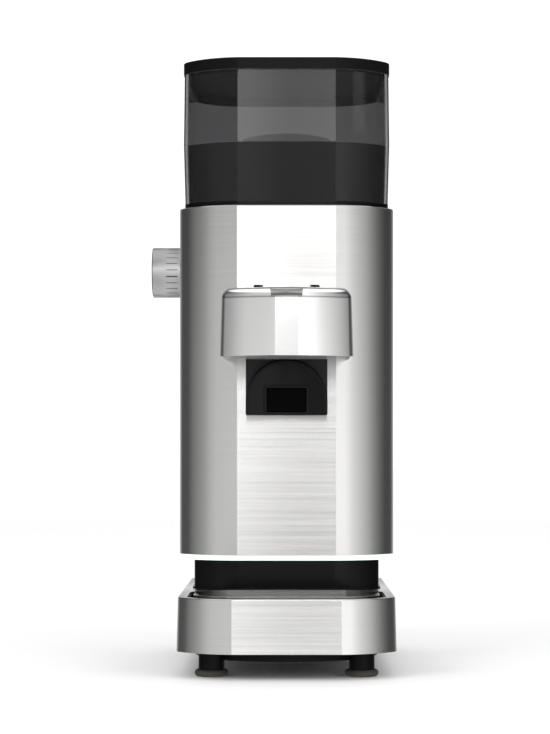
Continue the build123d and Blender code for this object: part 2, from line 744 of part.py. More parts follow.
def tray_tub():
    """Black tub under the deck that the tray sits in."""
    under_deck = BASE_TOP_Z - SHEET
    floor = TRAY_FLOOR_Z - TRAY_REST_GAP
    flange = prism(well_face(TUB_FLANGE), under_deck - TUB_FLOOR, under_deck - SEAT)
    wall = prism(well_face(1.0), floor - TUB_FLOOR, under_deck - TUB_FLOOR)
    cavity = prism(well_face(-1.0), floor, BASE_TOP_Z + 1)
    tub = flange + wall - cavity
    tub -= disc(SCREW_R + SLIP, floor - OVERCUT, floor + 1, 0, BASE_FRONT_Y + FRONT_POST_INSET)
    return tub


def crumb_tray():
    """Lift-out steel tray with a rolled rim."""
    rim_z = BASE_TOP_Z + TRAY_PROUD
    skin = prism(tray_face(TRAY_RIM_WIDTH), TRAY_FLOOR_Z, rim_z)
    skin = fillet(skin.edges().group_by(Axis.Z)[0], 3.0)
    hollow = prism(tray_face(TRAY_RIM_WIDTH + TRAY_SHEET), TRAY_FLOOR_Z + TRAY_SHEET, rim_z + 1)
    hollow = fillet(hollow.edges().group_by(Axis.Z)[0], TRAY_INNER_R)
    rim = prism(tray_face(), rim_z - TRAY_RIM_HEIGHT,
        rim_z) - prism(tray_face(TRAY_RIM_WIDTH + TRAY_SHEET), 0, BODY_FAR)
    rim = fillet(rim.edges().group_by(Axis.Z)[-1], 0.5)
    return skin + rim - hollow


# ---------------------------------------------------------------- neck, light ring and tower shell
def neck_column():
    """Black shadow-gap column between the base and the tower, with a thin flange and four bosses."""
    outer = prism(body_plan(NECK_INSET), BASE_TOP_Z, NECK_TOP_Z)
    outer += prism(body_plan(NECK_INSET - NECK_FLANGE), BASE_TOP_Z, BASE_TOP_Z + NECK_FLANGE_THICKNESS)
    neck = outer - prism(body_plan(NECK_INNER_INSET), BASE_TOP_Z - 1, NECK_TOP_Z + 1)
    for boss in column_screws(lambda x, y: disc(NECK_BOSS_R, BASE_TOP_Z, NECK_TOP_Z, x, y)):
        neck += boss
    for hole in column_screws(lambda x, y: disc(SCREW_R + SLIP, BASE_TOP_Z - 1, NECK_TOP_Z + 1, x, y)):
        neck -= hole
    return neck


def light_ring():
    """Clear diffuser plate that glows round the foot of the tower."""
    ring = prism(body_plan(LIGHT_RING_INSET), NECK_TOP_Z, SLEEVE_BOTTOM_Z)
    ring -= prism(body_plan(LIGHT_RING_INSET + LIGHT_RING_BAND), NECK_TOP_Z - 1, SLEEVE_BOTTOM_Z + 1)
    for hole in column_screws(lambda x, y: disc(SCREW_R + SLIP, NECK_TOP_Z - 1, SLEEVE_BOTTOM_Z + 1, x, y)):
        ring -= hole
    return ring


def led_board():
    """Narrow ring board with its lamps, lying on the light ring inside the sleeve."""
    z = SLEEVE_BOTTOM_Z + SEAT
    outer = SHEET + LAMP_BOARD_GAP
    board = prism(body_plan(outer), z, z + BOARD_THICKNESS) - prism(body_plan(outer + LAMP_BOARD_WIDTH),
        z - 1, z + OVERCUT)
    for sx in (-1, 1):
        for y in (BODY_Y - 1.5 * LAMP_PITCH, BODY_Y - 0.5 * LAMP_PITCH, BODY_Y + 0.5 * LAMP_PITCH,
            BODY_Y + 1.5 * LAMP_PITCH):
            x = sx * (BODY_WIDTH / 2 - outer - 3)
            board += slab(x - LAMP_HALF_X, x + LAMP_HALF_X, y - LAMP_HALF_Y, y + LAMP_HALF_Y,
                z + BOARD_THICKNESS, z + BOARD_THICKNESS + LAMP_HEIGHT)
    return board


def body_sleeve():
    """Brushed steel sleeve of the tower, open at both ends."""
    outer = prism(body_plan(), SLEEVE_BOTTOM_Z, SLEEVE_TOP_Z)
    outer = chamfer(outer.edges().group_by(Axis.Z)[-1], 0.5)
    sleeve = outer - prism(body_plan(SHEET), SLEEVE_BOTTOM_Z - 1, SLEEVE_TOP_Z + 1)
    front_y = BODY_FRONT_Y
    half = CHUTE_WIDTH / 2 + 2
    sleeve -= slab(-half, half, front_y - OVERCUT, front_y + OVERCUT, CHUTE_OUTLET_Z + 2,
        HOOD_TOP_Z - DUCT_WINDOW_DROP)
    start_half = START_WIDTH / 2 + 2
    start_top = CRADLE_BOTTOM_Z + BEZEL_HEIGHT
    sleeve -= slab(-start_half, start_half, front_y - OVERCUT, front_y + OVERCUT, CRADLE_BOTTOM_Z + 1.5,
        start_top)
    for x in (-HOOD_SCREW_X, HOOD_SCREW_X):
        for z in HOOD_SCREW_ZS:
            sleeve -= along_y(SCREW_R + SLIP, front_y - OVERCUT, front_y + 2 * OVERCUT, x, z)
    sleeve -= along_x(DIAL_SHAFT_R + 1.5, -BODY_WIDTH / 2 - OVERCUT, -BODY_WIDTH / 2 + OVERCUT, BODY_Y,
        DIAL_Z)
    return sleeve


def top_deck():
    """Black plate that closes the sleeve, with the socket for the hopper's spigot."""
    deck = prism(body_plan(SHEET + DECK_GAP), DECK_Z, SLEEVE_TOP_Z - DECK_DROP)
    deck += disc(DECK_TUBE_R, DECK_TUBE_BOTTOM_Z, DECK_Z)
    deck -= disc(SPIGOT_R + SLIDE_GAP, DECK_TUBE_BOTTOM_Z - 1, SLEEVE_TOP_Z + 1)
    for x, y in deck_screw_places():
        deck += disc(COLUMN_R, DECK_Z - DECK_BOSS_LENGTH, DECK_Z, x, y)
        deck -= disc(SCREW_R + SLIP, DECK_Z - DECK_BOSS_LENGTH - 1, SLEEVE_TOP_Z + 1, x, y)
        deck -= disc(SCREW_HEAD_R + SLIP, SLEEVE_TOP_Z - SCREW_RECESS, SLEEVE_TOP_Z + 1, x, y)
    return deck


def deck_screw_places():
    """Where the top deck is screwed to the tower's columns."""
    return [(sx * COLUMN_X, y) for sx in (-1, 1) for y in COLUMN_YS]


def chassis():
    """Floor of the tower with four columns up to the gearbox plate."""
    floor = prism(body_plan(SHEET + FLOOR_PLATE_INSET), FLOOR_PLATE_Z, FLOOR_PLATE_Z + PLATE)
    floor -= disc(FLOOR_HOLE_R, FLOOR_PLATE_Z - 1, FLOOR_PLATE_Z + PLATE + 1)
    for x, y in deck_screw_places():
        floor += disc(COLUMN_R, FLOOR_PLATE_Z, PLATE_Z, x * LOWER_COLUMN_RATIO, y)
    for boss in column_screws(lambda x, y: disc(COLUMN_R, FLOOR_PLATE_Z, FLOOR_PLATE_Z + FLOOR_BOSS_HEIGHT,
        x, y)):
        floor += boss
    for hole in column_screws(lambda x, y: disc(SCREW_R + THREAD_GAP, FLOOR_PLATE_Z - 1,
        FLOOR_PLATE_Z + FLOOR_BORE_DEPTH, x, y)):
        floor -= hole
    return floor


def mount_plate():
    """Steel plate across the tower that carries the motor under it and the gearbox on it."""
    plate = prism(body_plan(SHEET + 1.5), PLATE_Z, GEARBOX_FLOOR_Z)
    plate -= disc(PLATE_HOLE_R, PLATE_Z - 1, GEARBOX_FLOOR_Z + 1)
    notch_y = BODY_FRONT_Y + PLATE_NOTCH
    plate -= slab(-START_WIDTH, START_WIDTH, BODY_FRONT_Y, notch_y, PLATE_Z - 1, GEARBOX_FLOOR_Z + 1)
    for x, y in deck_screw_places():
        plate -= disc(SCREW_R + SLIP, PLATE_Z - 1, GEARBOX_FLOOR_Z + 1, x * LOWER_COLUMN_RATIO, y)
    return plate


def upper_columns():
    """Four turned posts between the mount plate and the top deck."""
    posts = []
    for x, y in deck_screw_places():
        post = disc(COLUMN_R, GEARBOX_FLOOR_Z, DECK_Z - 8, x, y)
        posts.append(post - disc(SCREW_R + THREAD_GAP, DECK_Z - COLUMN_BORE_DEPTH, DECK_Z, x, y))
    return solids(posts)


# ---------------------------------------------------------------- hopper, guard and lid
def shell_part(z0, inset0, z1, inset1):
    """Drafted solid between two plans of the tower."""
    lower = Pos(0, 0, z0) * body_plan(inset0)
    upper = Pos(0, 0, z1) * body_plan(inset1)
    return loft([lower, upper], ruled=True)


def hopper_body():
    """Smoke hopper wall, slightly waisted outwards, with a ledge for the funnel."""
    lower = shell_part(SHELL_FOOT_Z, HOPPER_FOOT_INSET, WAIST_Z, HOPPER_WAIST_INSET)
    upper = shell_part(WAIST_Z, HOPPER_WAIST_INSET, HOPPER_TOP_Z, HOPPER_TOP_INSET)
    w = HOPPER_WALL
    lower_in = shell_part(SHELL_FOOT_Z - HAIR, HOPPER_FOOT_INSET + w, WAIST_Z, HOPPER_WAIST_INSET + w)
    upper_in = shell_part(WAIST_Z, HOPPER_WAIST_INSET + w, HOPPER_TOP_Z + HAIR, HOPPER_TOP_INSET + w)
    return lower + upper - lower_in - upper_in


def funnel_cone(offset, z_shift=0.0):
    """Solid cone of the funnel's inner face, grown by offset."""
    top_z = WAIST_Z + z_shift
    bottom_z = SHELL_FOOT_Z + 1.0 + z_shift
    height = top_z - bottom_z
    return Pos(0, BODY_Y, bottom_z + height / 2) * Cone(
        FUNNEL_THROAT_R + offset, FUNNEL_MOUTH_R + offset, height
    )


def funnel_skirt(inset):
    """Drafted solid of the funnel's skirt, inside the hopper's wall."""
    inner = HOPPER_WALL + FUNNEL_FIT + inset
    return shell_part(SHELL_FOOT_Z + FUNNEL_FIT, HOPPER_FOOT_INSET + inner, WAIST_Z,
        HOPPER_WAIST_INSET + inner)


def hopper_funnel():
    """Dark insert in the hopper: a funnel to the throat, with a skirt on the hopper's foot."""
    skirt = funnel_skirt(0.0) - (funnel_skirt(FUNNEL_SKIRT) & slab(-BODY_FAR, BODY_FAR, -BODY_FAR,
        BODY_FAR, 0, WAIST_Z - FUNNEL_RIM))
    shell = funnel_cone(FUNNEL_WALL)
    throat = disc(FUNNEL_THROAT_R + FUNNEL_WALL, HOPPER_BOTTOM_Z - SPIGOT_LENGTH, SHELL_FOOT_Z + 1.0)
    bore = disc(FUNNEL_THROAT_R, HOPPER_BOTTOM_Z - SPIGOT_LENGTH - 1, SHELL_FOOT_Z + 1 + HAIR)
    return skirt + shell + throat - funnel_cone(0.0) - bore


def hopper_base():
    """Black foot of the hopper, with a groove round it and the spigot that enters the tower."""
    foot = prism(body_plan(HOPPER_FOOT_INSET - HOPPER_FOOT_PROUD), HOPPER_BOTTOM_Z, SHELL_FOOT_Z - SEAT)
    groove_z = (HOPPER_BOTTOM_Z + SHELL_FOOT_Z) / 2
    groove = prism(body_plan(0), groove_z - GROOVE_HALF, groove_z + GROOVE_HALF)
    groove -= prism(body_plan(HOPPER_FOOT_INSET + 0.5), groove_z - 1, groove_z + 1)
    foot -= groove
    foot += disc(SPIGOT_R, HOPPER_BOTTOM_Z - SPIGOT_LENGTH, HOPPER_BOTTOM_Z)
    return foot - disc(FUNNEL_THROAT_R + FUNNEL_WALL + RUNNING_GAP, 0, BODY_FAR)


def bean_guard():
    """Round cap over the throat that keeps fingers out, with windows for the beans."""
    slope = (FUNNEL_MOUTH_R - FUNNEL_THROAT_R) / (WAIST_Z - SHELL_FOOT_Z - 1.0)
    foot_z = SHELL_FOOT_Z + 1.0 + (GUARD_R - FUNNEL_THROAT_R) / slope + SLIP
    top_z = WAIST_Z + GUARD_HEIGHT
    dome = Pos(0, BODY_Y, top_z - GUARD_DOME_R)
    outer = disc(GUARD_R, foot_z, top_z) & dome * Sphere(GUARD_DOME_R)
    inner = disc(GUARD_R - GUARD_WALL, foot_z - 1, top_z) & dome * Sphere(GUARD_DOME_R - GUARD_WALL)
    guard = outer - inner
    window = Pos(GUARD_R, 0, foot_z + GUARD_WINDOW_Z) * Box(*GUARD_WINDOW)
    for cut in around(GUARD_WINDOWS, window):
        guard -= cut
    return guard


def lid():
    """Flat black lid with a low rim inside and a shallow recess under it."""
    outer = prism(body_plan(LID_INSET), LID_BOTTOM_Z, LID_BOTTOM_Z + LID_HEIGHT)
    outer = fillet(outer.edges().group_by(Axis.Z)[-1], SOFT_EDGE_R)
    inset = HOPPER_TOP_INSET + HOPPER_WALL + LID_LIP_GAP
    plug = prism(body_plan(inset), LID_BOTTOM_Z - 2.0, LID_BOTTOM_Z)
    recess = prism(body_plan(inset + LID_LIP), LID_BOTTOM_Z - 3, LID_BOTTOM_Z + LID_HEIGHT - LID_CEILING)
    return outer + plug - recess


def lid_seal():
    """Flat gasket between the lid and the hopper's top edge."""
    z0 = HOPPER_TOP_Z + SEAL_GAP
    seal = prism(body_plan(HOPPER_TOP_INSET + SEAL_INSET), z0, LID_BOTTOM_Z - SEAT / 2)
    return seal - prism(body_plan(HOPPER_TOP_INSET + HOPPER_WALL + SEAL_LIP_GAP), z0 - 1, LID_BOTTOM_Z + 1)


# ---------------------------------------------------------------- hood, plate and buttons
def hood_plan(inset=0.0):
    """Plan of the hood at its foot, running back past the tower's front."""
    reach = 2 * (HOOD_REACH + HOOD_BEHIND)
    centre = HOOD_FRONT_Y + reach / 2
    return plan(HOOD_WIDTH, reach, centre, inset, HOOD_WIDE_R, HOOD_TIGHT_R, HOOD_SWEEP)


def hood_solid(inset):
    """Drafted outer form of the hood with its rounded top edge, moved inwards by inset."""
    body = prism(hood_plan(inset), HOOD_BOTTOM_Z, HOOD_TOP_Z - inset, HOOD_DRAFT)
    top = body.edges().group_by(Axis.Z)[-1]
    return fillet(top, HOOD_FILLET - inset)


def behind_front(gap=0.0):
    """Everything behind the tower's front face, for trimming what stands on it."""
    return prism(body_plan(-gap), 0, BODY_FAR) + slab(-BODY_FAR, BODY_FAR, BODY_Y, BODY_FAR, 0, BODY_FAR)


def plate_plane_cut(grow, lift):
    """Wedge that cuts the sloping seat of the hood's plate."""
    run, drop = HOOD_PLATE_RUN, HOOD_PLATE_LOW_DROP
    slope = drop / run
    y0, y1 = HOOD_FRONT_Y - 2, HOOD_FRONT_Y + run + grow
    z_at = lambda y: HOOD_TOP_Z - drop + (y - HOOD_FRONT_Y) * slope + lift
    profile = make_face(Polyline((y0, z_at(y0)), (y1, z_at(y1)), (y1, HOOD_TOP_Z + 2 * OVERCUT), (y0,
        HOOD_TOP_Z + 2 * OVERCUT), close=True))
    half = HOOD_PLATE_WIDTH / 2 + grow
    plane = Plane(origin=(-half, 0, 0), x_dir=(0, 1, 0), z_dir=(1, 0, 0))
    return extrude(plane * profile, amount=2 * half)


def hood_shell():
    """Polished hood over the outlet: a drafted shell, open below and behind."""
    shell = hood_solid(0.0) - hood_solid(HOOD_WALL)
    shell -= behind_front(SEAT)
    shell -= plate_plane_cut(PLATE_SEAT_GAP, -HOOD_PLATE_THICKNESS)
    seat = (hood_solid(0.5) & plate_plane_cut(2.0, -HOOD_PLATE_THICKNESS - 2.0)) - plate_plane_cut(
        PLATE_LEDGE, -HOOD_PLATE_THICKNESS
    )
    shell += seat - behind_front(SEAT)
    for x in (-CUP_BUTTON_X, CUP_BUTTON_X):
        y = HOOD_FRONT_Y + CUP_BUTTON_INSET
        shell -= disc(CUP_BUTTON_R + CUP_BUTTON_GAP, HOOD_TOP_Z - HOOD_BORE_DEPTH, HOOD_TOP_Z + OVERCUT, x,
            y)
        relief_r = CUP_BUTTON_R + CUP_BUTTON_FLANGE + SLIP
        shell -= disc(relief_r, HOOD_TOP_Z - HOOD_BORE_DEPTH, HOOD_TOP_Z - HOOD_WALL - CUP_RELIEF, x, y)
    for x in (-HOOD_SCREW_X, HOOD_SCREW_X):
        for z in HOOD_SCREW_ZS:
            boss = along_y(HOOD_BOSS_R, BODY_FRONT_Y - HOOD_BOSS_LENGTH, BODY_FRONT_Y + OVERCUT, x,
                z) - behind_front(SEAT)
            wall = slab(x - HOOD_RIB_HALF, x + HOOD_RIB_HALF, BODY_FRONT_Y - HOOD_BOSS_LENGTH,
                BODY_FRONT_Y + OVERCUT, z, HOOD_TOP_Z - 1)
            shell += boss + (wall - behind_front(SEAT))
            shell -= along_y(SCREW_R + THREAD_GAP, BODY_FRONT_Y - HOOD_BOSS_BORE,
                BODY_FRONT_Y + HOOD_BOSS_BORE, x, z)
    return shell


def hood_plate():
    """Brushed steel plate let into the sloping front of the hood's top."""
    outline = prism(hood_plan(HOOD_PLATE_SETBACK), HOOD_BOTTOM_Z, HOOD_TOP_Z)
    plate = outline & plate_plane_cut(0.0, -HOOD_PLATE_THICKNESS + SEAT)
    return plate - plate_plane_cut(1.0, 0.0)


def cup_button(side):
    """Round push button on the hood's top. It is pressed straight down."""
    x = side * CUP_BUTTON_X
    y = HOOD_FRONT_Y + CUP_BUTTON_INSET
    cap_top = HOOD_TOP_Z + CUP_BUTTON_PROUD
    button = disc(CUP_BUTTON_R, HOOD_TOP_Z - CUP_BUTTON_FOOT, cap_top, x, y)
    button = fillet(button.edges().group_by(Axis.Z)[-1], BUTTON_EDGE_R)
    return button + disc(CUP_BUTTON_R + CUP_BUTTON_FLANGE, HOOD_TOP_Z - CUP_BUTTON_FOOT,
        HOOD_TOP_Z - HOOD_WALL - CUP_BUTTON_STOP, x, y)


def button_board():
    """Small board under the hood's top that carries the two cup switches."""
    y = HOOD_FRONT_Y + CUP_BUTTON_INSET
    z = HOOD_TOP_Z - CUP_BUTTON_FOOT - CUP_BUTTON_TRAVEL - CUP_SWITCH_DROP - BOARD_THICKNESS
    board = slab(-CUP_BUTTON_X - CUP_BOARD_MARGIN, CUP_BUTTON_X + CUP_BOARD_MARGIN, y - CUP_BOARD_FRONT,
        y + CUP_BOARD_MARGIN, z, z + BOARD_THICKNESS)
    for x in (-CUP_BUTTON_X, CUP_BUTTON_X):
        board += slab(x - 3, x + 3, y - 3, y + 3, z + BOARD_THICKNESS,
            z + BOARD_THICKNESS + CUP_SWITCH_HEIGHT)
    for x in (-CUP_BUTTON_X - 4, CUP_BUTTON_X + 4):
        board += slab(x - 3, x + 3, y + CUP_BOARD_FRONT, y + CUP_BOARD_MARGIN, z,
            HOOD_TOP_Z - HOOD_WALL - SEAT)
    return board


# ---------------------------------------------------------------- cradle and start button
def arch_outline(inset=0.0, below=0.0):
    """Arch as wide as the cradle, drawn in X and Z. It can run on below the cradle's foot."""
    radius = CRADLE_WIDTH / 2 - inset
    spring_z = HOOD_BOTTOM_Z - ARCH_TOP_GAP - CRADLE_WIDTH / 2
    round_top = Pos(0, spring_z) * (Circle(radius) & Pos(0, radius / 2) * Rectangle(2 * radius, radius))
    foot_z = CRADLE_BOTTOM_Z - below
    corner = 1.5
    legs = Pos(0, (spring_z + foot_z) / 2) * Rectangle(2 * radius, spring_z - foot_z)
    legs = fillet(legs.vertices().group_by(Axis.Y)[0], corner)
    return round_top + legs


def cradle_block():
    """Dark block on the tower's front that the arch stands on."""
    half = CRADLE_WIDTH / 2
    block = slab(-half, half, CRADLE_BLOCK_Y, BODY_FRONT_Y + OVERCUT, CRADLE_BOTTOM_Z + BLOCK_LIFT,
        HOOD_BOTTOM_Z - BLOCK_TOP_GAP)
    block -= behind_front(SEAT)
    w, h = START_WIDTH / 2 + 1.5, START_HEIGHT / 2 + 1.0
    return block - slab(-w, w, CRADLE_BLOCK_Y - 1, BODY_FRONT_Y + 6, BEZEL_Z - h, BEZEL_Z + h)


def cradle_arch():
    """Black arch with a hollow front that the filter holder's ring is pushed against."""
    arch = front_shape(arch_outline(), ARCH_FRONT_Y, CRADLE_BLOCK_Y - SEAT)
    arch = fillet(arch.edges().group_by(Axis.Y)[0], SOFT_EDGE_R)
    hollow = front_shape(arch_outline(ARCH_CHEEK, 4), ARCH_FRONT_Y - 1, CRADLE_BLOCK_Y + 1)
    hollow &= disc(ARCH_HOLLOW_R, CRADLE_BOTTOM_Z - OVERCUT, HOOD_BOTTOM_Z + OVERCUT, 0, ARCH_HOLLOW_Y)
    hole = frame_face(BEZEL_WIDTH - 2 * BEZEL_RIM + 2 * SEAT, BEZEL_HEIGHT - 2 * BEZEL_RIM + 2 * SEAT,
        BEZEL_SLEEVE_CORNER_R)
    return arch - hollow - front_shape(hole, ARCH_FRONT_Y - 1, CRADLE_BLOCK_Y + 1)


def frame_face(width, height, radius):
    """Rounded rectangle about the start button's centre, drawn in X and Z."""
    return Pos(0, BEZEL_Z) * RectangleRounded(width, height, radius)


def start_bezel():
    """Frame round the start button, seated in the arch's hollow, with a sleeve through the arch."""
    back_y = ARCH_FRONT_Y + ARCH_SCOOP_DEPTH
    bezel = front_shape(frame_face(BEZEL_WIDTH, BEZEL_HEIGHT, BEZEL_CORNER_R), BEZEL_FRONT_Y, back_y)
    bezel = fillet(bezel.edges().group_by(Axis.Y)[0], 0.5)
    bezel &= disc(ARCH_HOLLOW_R - SEAT, 0, BODY_FAR, 0, ARCH_HOLLOW_Y)
    sleeve_face = frame_face(BEZEL_WIDTH - 2 * BEZEL_RIM, BEZEL_HEIGHT - 2 * BEZEL_RIM,
        BEZEL_SLEEVE_CORNER_R)
    bezel += front_shape(sleeve_face, BEZEL_FRONT_Y + 1, CRADLE_BLOCK_Y - SEAT)
    hole = frame_face(START_WIDTH + 2 * SLIP, START_HEIGHT, START_HOLE_CORNER_R)
    return bezel - front_shape(hole, BEZEL_FRONT_Y - OVERCUT, CRADLE_BLOCK_Y + OVERCUT)


def start_button():
    """Wide push button that the filter holder presses back to start grinding."""
    w, h = START_WIDTH, START_HEIGHT - START_PLAY
    button = front_shape(frame_face(w, h, START_CORNER_R), START_FRONT_Y, START_FRONT_Y + START_LENGTH)
    return fillet(button.edges().group_by(Axis.Y)[0], BUTTON_EDGE_R)


def micro_switches():
    """Two switches: one behind the start button, and one under the top deck that feels the hopper."""
    y0 = START_FRONT_Y + START_LENGTH + START_TRAVEL + SWITCH_GAP
    start = slab(-SWITCH_SIZE, SWITCH_SIZE, y0, y0 + SWITCH_SIZE, BEZEL_Z - 3, BEZEL_Z + SWITCH_RISE)
    foot_z = GEARBOX_FLOOR_Z + SEAT
    start += slab(-SWITCH_FOOT_HALF, SWITCH_FOOT_HALF, y0 + SWITCH_SIZE, y0 + SWITCH_FOOT_HALF, foot_z,
        BEZEL_Z + SWITCH_RISE)
    start += slab(-SWITCH_FOOT_HALF, SWITCH_FOOT_HALF, y0 + SWITCH_SIZE, BODY_FRONT_Y + PLATE_NOTCH + 6,
        foot_z, foot_z + 2)
    y1 = BODY_Y + SPIGOT_R + HOPPER_SWITCH_OUT
    return solids([start, slab(-HOPPER_SWITCH_HALF, HOPPER_SWITCH_HALF, y1, y1 + 8,
        DECK_Z - HOPPER_SWITCH_HEIGHT, DECK_Z - SEAT)])


# ---------------------------------------------------------------- chute


def chute_side(grow, y_in, extra):
    """Side outline of the chute, drawn in Y and Z: a sloping duct that turns down at its outlet."""
    front = CHUTE_OUTLET_Y - CHUTE_OUTLET_LENGTH / 2 - grow
    back = CHUTE_OUTLET_Y + CHUTE_OUTLET_LENGTH / 2 + grow
    low = CHUTE_OUTLET_Z - extra
    knee = CHUTE_OUTLET_Z + CHUTE_KNEE - grow
    top_out = HOOD_TOP_Z - CHUTE_TOP_DROP + grow
    top_in = CHUTE_INLET_Z + CHUTE_HEIGHT + grow
    return make_face(
        Polyline(
            (back, low),
            (front, low),
            (front, top_out - 6),
            (front + 6, top_out),
            (y_in, top_in),
            (y_in, CHUTE_INLET_Z - grow),
            (back, knee),
            close=True,
        )
    )


def side_prism(face, half):
    """Solid of a face drawn in Y and Z, as wide as half on each side of X = 0."""
    plane = Plane(origin=(-half, 0, 0), x_dir=(0, 1, 0), z_dir=(1, 0, 0))
    return extrude(plane * face, amount=2 * half)


def grounds_chute():
    """Duct from the burr chamber to the outlet under the hood."""
    outer = side_prism(chute_side(CHUTE_WALL, CHUTE_INLET_Y, 0), CHUTE_WIDTH / 2)
    inner = side_prism(chute_side(0, CHUTE_INLET_Y + OVERCUT, 1), CHUTE_WIDTH / 2 - CHUTE_WALL)
    return outer - disc(CHAMBER_R + RUNNING_GAP, 0, BODY_FAR) - inner


def chute_flap():
    """Soft slit flap across the duct that calms the grounds before they drop."""
    half = CHUTE_WIDTH / 2 - CHUTE_WALL - FLAP_GAP
    y = CHUTE_OUTLET_Y + CHUTE_OUTLET_LENGTH / 2 + 4
    z0, z1 = CHUTE_OUTLET_Z + FLAP_LOW, CHUTE_OUTLET_Z + FLAP_HIGH
    flap = slab(-half, half, y, y + FLAP_THICKNESS, z0, z1)
    for i in range(4):
        x = -half + (i + 1) * 2 * half / FLAP_STRIPS
        flap -= slab(x - FLAP_GAP, x + FLAP_GAP, y - 1, y + 2, z0 - 1, z1 - 3)
    return flap


# ---------------------------------------------------------------- burrs, chamber and adjuster
def burr_chamber():
    """Cast chamber with the carrier's bore, the exit port and the spindle's bearing seat."""
    foot_z = GEARBOX_COVER_Z + GEARBOX_WALL + SEAT
    pot = disc(CHAMBER_R, CHAMBER_FLOOR_Z, CHAMBER_TOP_Z) + disc(BEARING_R + 8, foot_z, CHAMBER_FLOOR_Z)
    pot -= disc(CHAMBER_BORE_R, CHAMBER_FLOOR_Z + CHAMBER_FLOOR, CHAMBER_TOP_Z + 1)
    pot -= disc(BEARING_R + RUNNING_GAP, CHAMBER_FLOOR_Z - 4 - BEARING_HEIGHT - BEARING_END_GAP,
        CHAMBER_FLOOR_Z - 4)
    pot -= disc(SPINDLE_R + SPINDLE_GAP, foot_z - 1, CHAMBER_FLOOR_Z + CHAMBER_FLOOR + 1)
    pot -= disc(BEARING_R - 2, foot_z - 1, CHAMBER_FLOOR_Z - 4)
    pot -= disc(BEARING_R + RUNNING_GAP, foot_z - 1,
        CHAMBER_FLOOR_Z - 4 - BEARING_HEIGHT + BEARING_END_GAP / 2)
    port = CHUTE_WIDTH / 2 - CHUTE_WALL
    top = CHUTE_INLET_Z + CHUTE_HEIGHT
    pot -= slab(-port, port, BODY_Y - CHAMBER_R - OVERCUT, BODY_Y - PORT_INNER_R, CHUTE_INLET_Z, top)
    return pot


def spindle_bearings():
    """Two ball bearings on the spindle, drawn as an outer ring, an inner ring and nothing between."""
    shapes = []
    for z in (GEARBOX_COVER_Z - 4.0, CHAMBER_FLOOR_Z - 4 - BEARING_HEIGHT):
        race = tube(BEARING_R, BEARING_R - RACE, z, z + BEARING_HEIGHT)
        hub = tube(SPINDLE_R + RACE, SPINDLE_R + RUNNING_GAP, z, z + BEARING_HEIGHT)
        web = tube(BEARING_R - RACE, SPINDLE_R + RACE, z + 1, z + BEARING_HEIGHT - 1)
        shapes.append(race + hub + web)
    return solids(shapes)


def crown_teeth():
    """Radial teeth under the adjuster ring, in a sector round the -X side."""
    pitch = pi * DIAL_MODULE
    half = pitch / 4 - TOOTH_SLACK
    slope = tan(radians(GEAR_PRESSURE_ANGLE))
    top = DEDENDUM * DIAL_MODULE + TOOTH_TIP_GAP
    low = ADDENDUM * DIAL_MODULE
    profile = make_face(
        Polyline(
            (-half - top * slope, top),
            (half + top * slope, top),
            (half - low * slope, -low),
            (-half + low * slope, -low),
            close=True,
        )
    )
    r0 = CROWN_PITCH_R - DIAL_FACE / 2 - CROWN_FACE_MARGIN
    r1 = CROWN_PITCH_R + DIAL_FACE / 2 + CROWN_FACE_MARGIN
    plane = Plane(origin=(r0, 0, CROWN_PITCH_Z), x_dir=(0, 1, 0), z_dir=(1, 0, 0))
    tooth = extrude(plane * profile, amount=r1 - r0)
    step = 360 / CROWN_TEETH
    count = int(CROWN_SECTOR / step)
    return [Pos(0, BODY_Y, 0) * Rot(0, 0, 180 + i * step) * tooth for i in range(-count, count + 1)]


def adjuster_ring():
    """Ring that the dial's pinion turns. Three keyways in it turn the burr carrier."""
    outer = CROWN_PITCH_R + DIAL_FACE / 2 + 2.0
    ring = tube(outer, CARRIER_R + CARRIER_GAP, CROWN_Z, CROWN_Z + CROWN_THICKNESS)
    ring += tube(CHAMBER_R, CARRIER_R + CARRIER_GAP, CHAMBER_TOP_Z + CROWN_SEAT, CROWN_Z + 0.5)
    for tooth in crown_teeth():
        ring += tooth
    key = Pos(CARRIER_R, 0, CROWN_Z) * Box(2 * (KEY_R - CARRIER_R) + 1.0, KEY_WIDTH + KEY_PLAY, KEY_CUT)
    for cut in around(3, key, KEY_ANGLE):
        ring -= cut
    return ring


def burr_carrier():
    """Threaded carrier of the ring burr, drawn without its thread, with three keys and a bean inlet."""
    top_z = CROWN_Z + CROWN_THICKNESS + 2.0
    low_z = BURR_RING_TOP_Z - BURR_RING_HEIGHT + 4.0
    carrier = disc(CARRIER_R, low_z, top_z)
    carrier -= disc(CARRIER_R - CARRIER_WALL, BURR_RING_TOP_Z + PLATE, top_z + 1)
    carrier -= disc(BURR_R + RUNNING_GAP, low_z - 1, BURR_RING_TOP_Z)
    carrier -= disc(FUNNEL_THROAT_R, low_z, top_z + 1)
    key = Pos(CARRIER_R, 0, top_z - 4.0) * Box(2 * (KEY_R - CARRIER_R), KEY_WIDTH, 8.0)
    for lug in around(3, key, KEY_ANGLE):
        carrier += lug
    return carrier - disc(CARRIER_R - CARRIER_WALL, BURR_RING_TOP_Z + PLATE, top_z + 1)


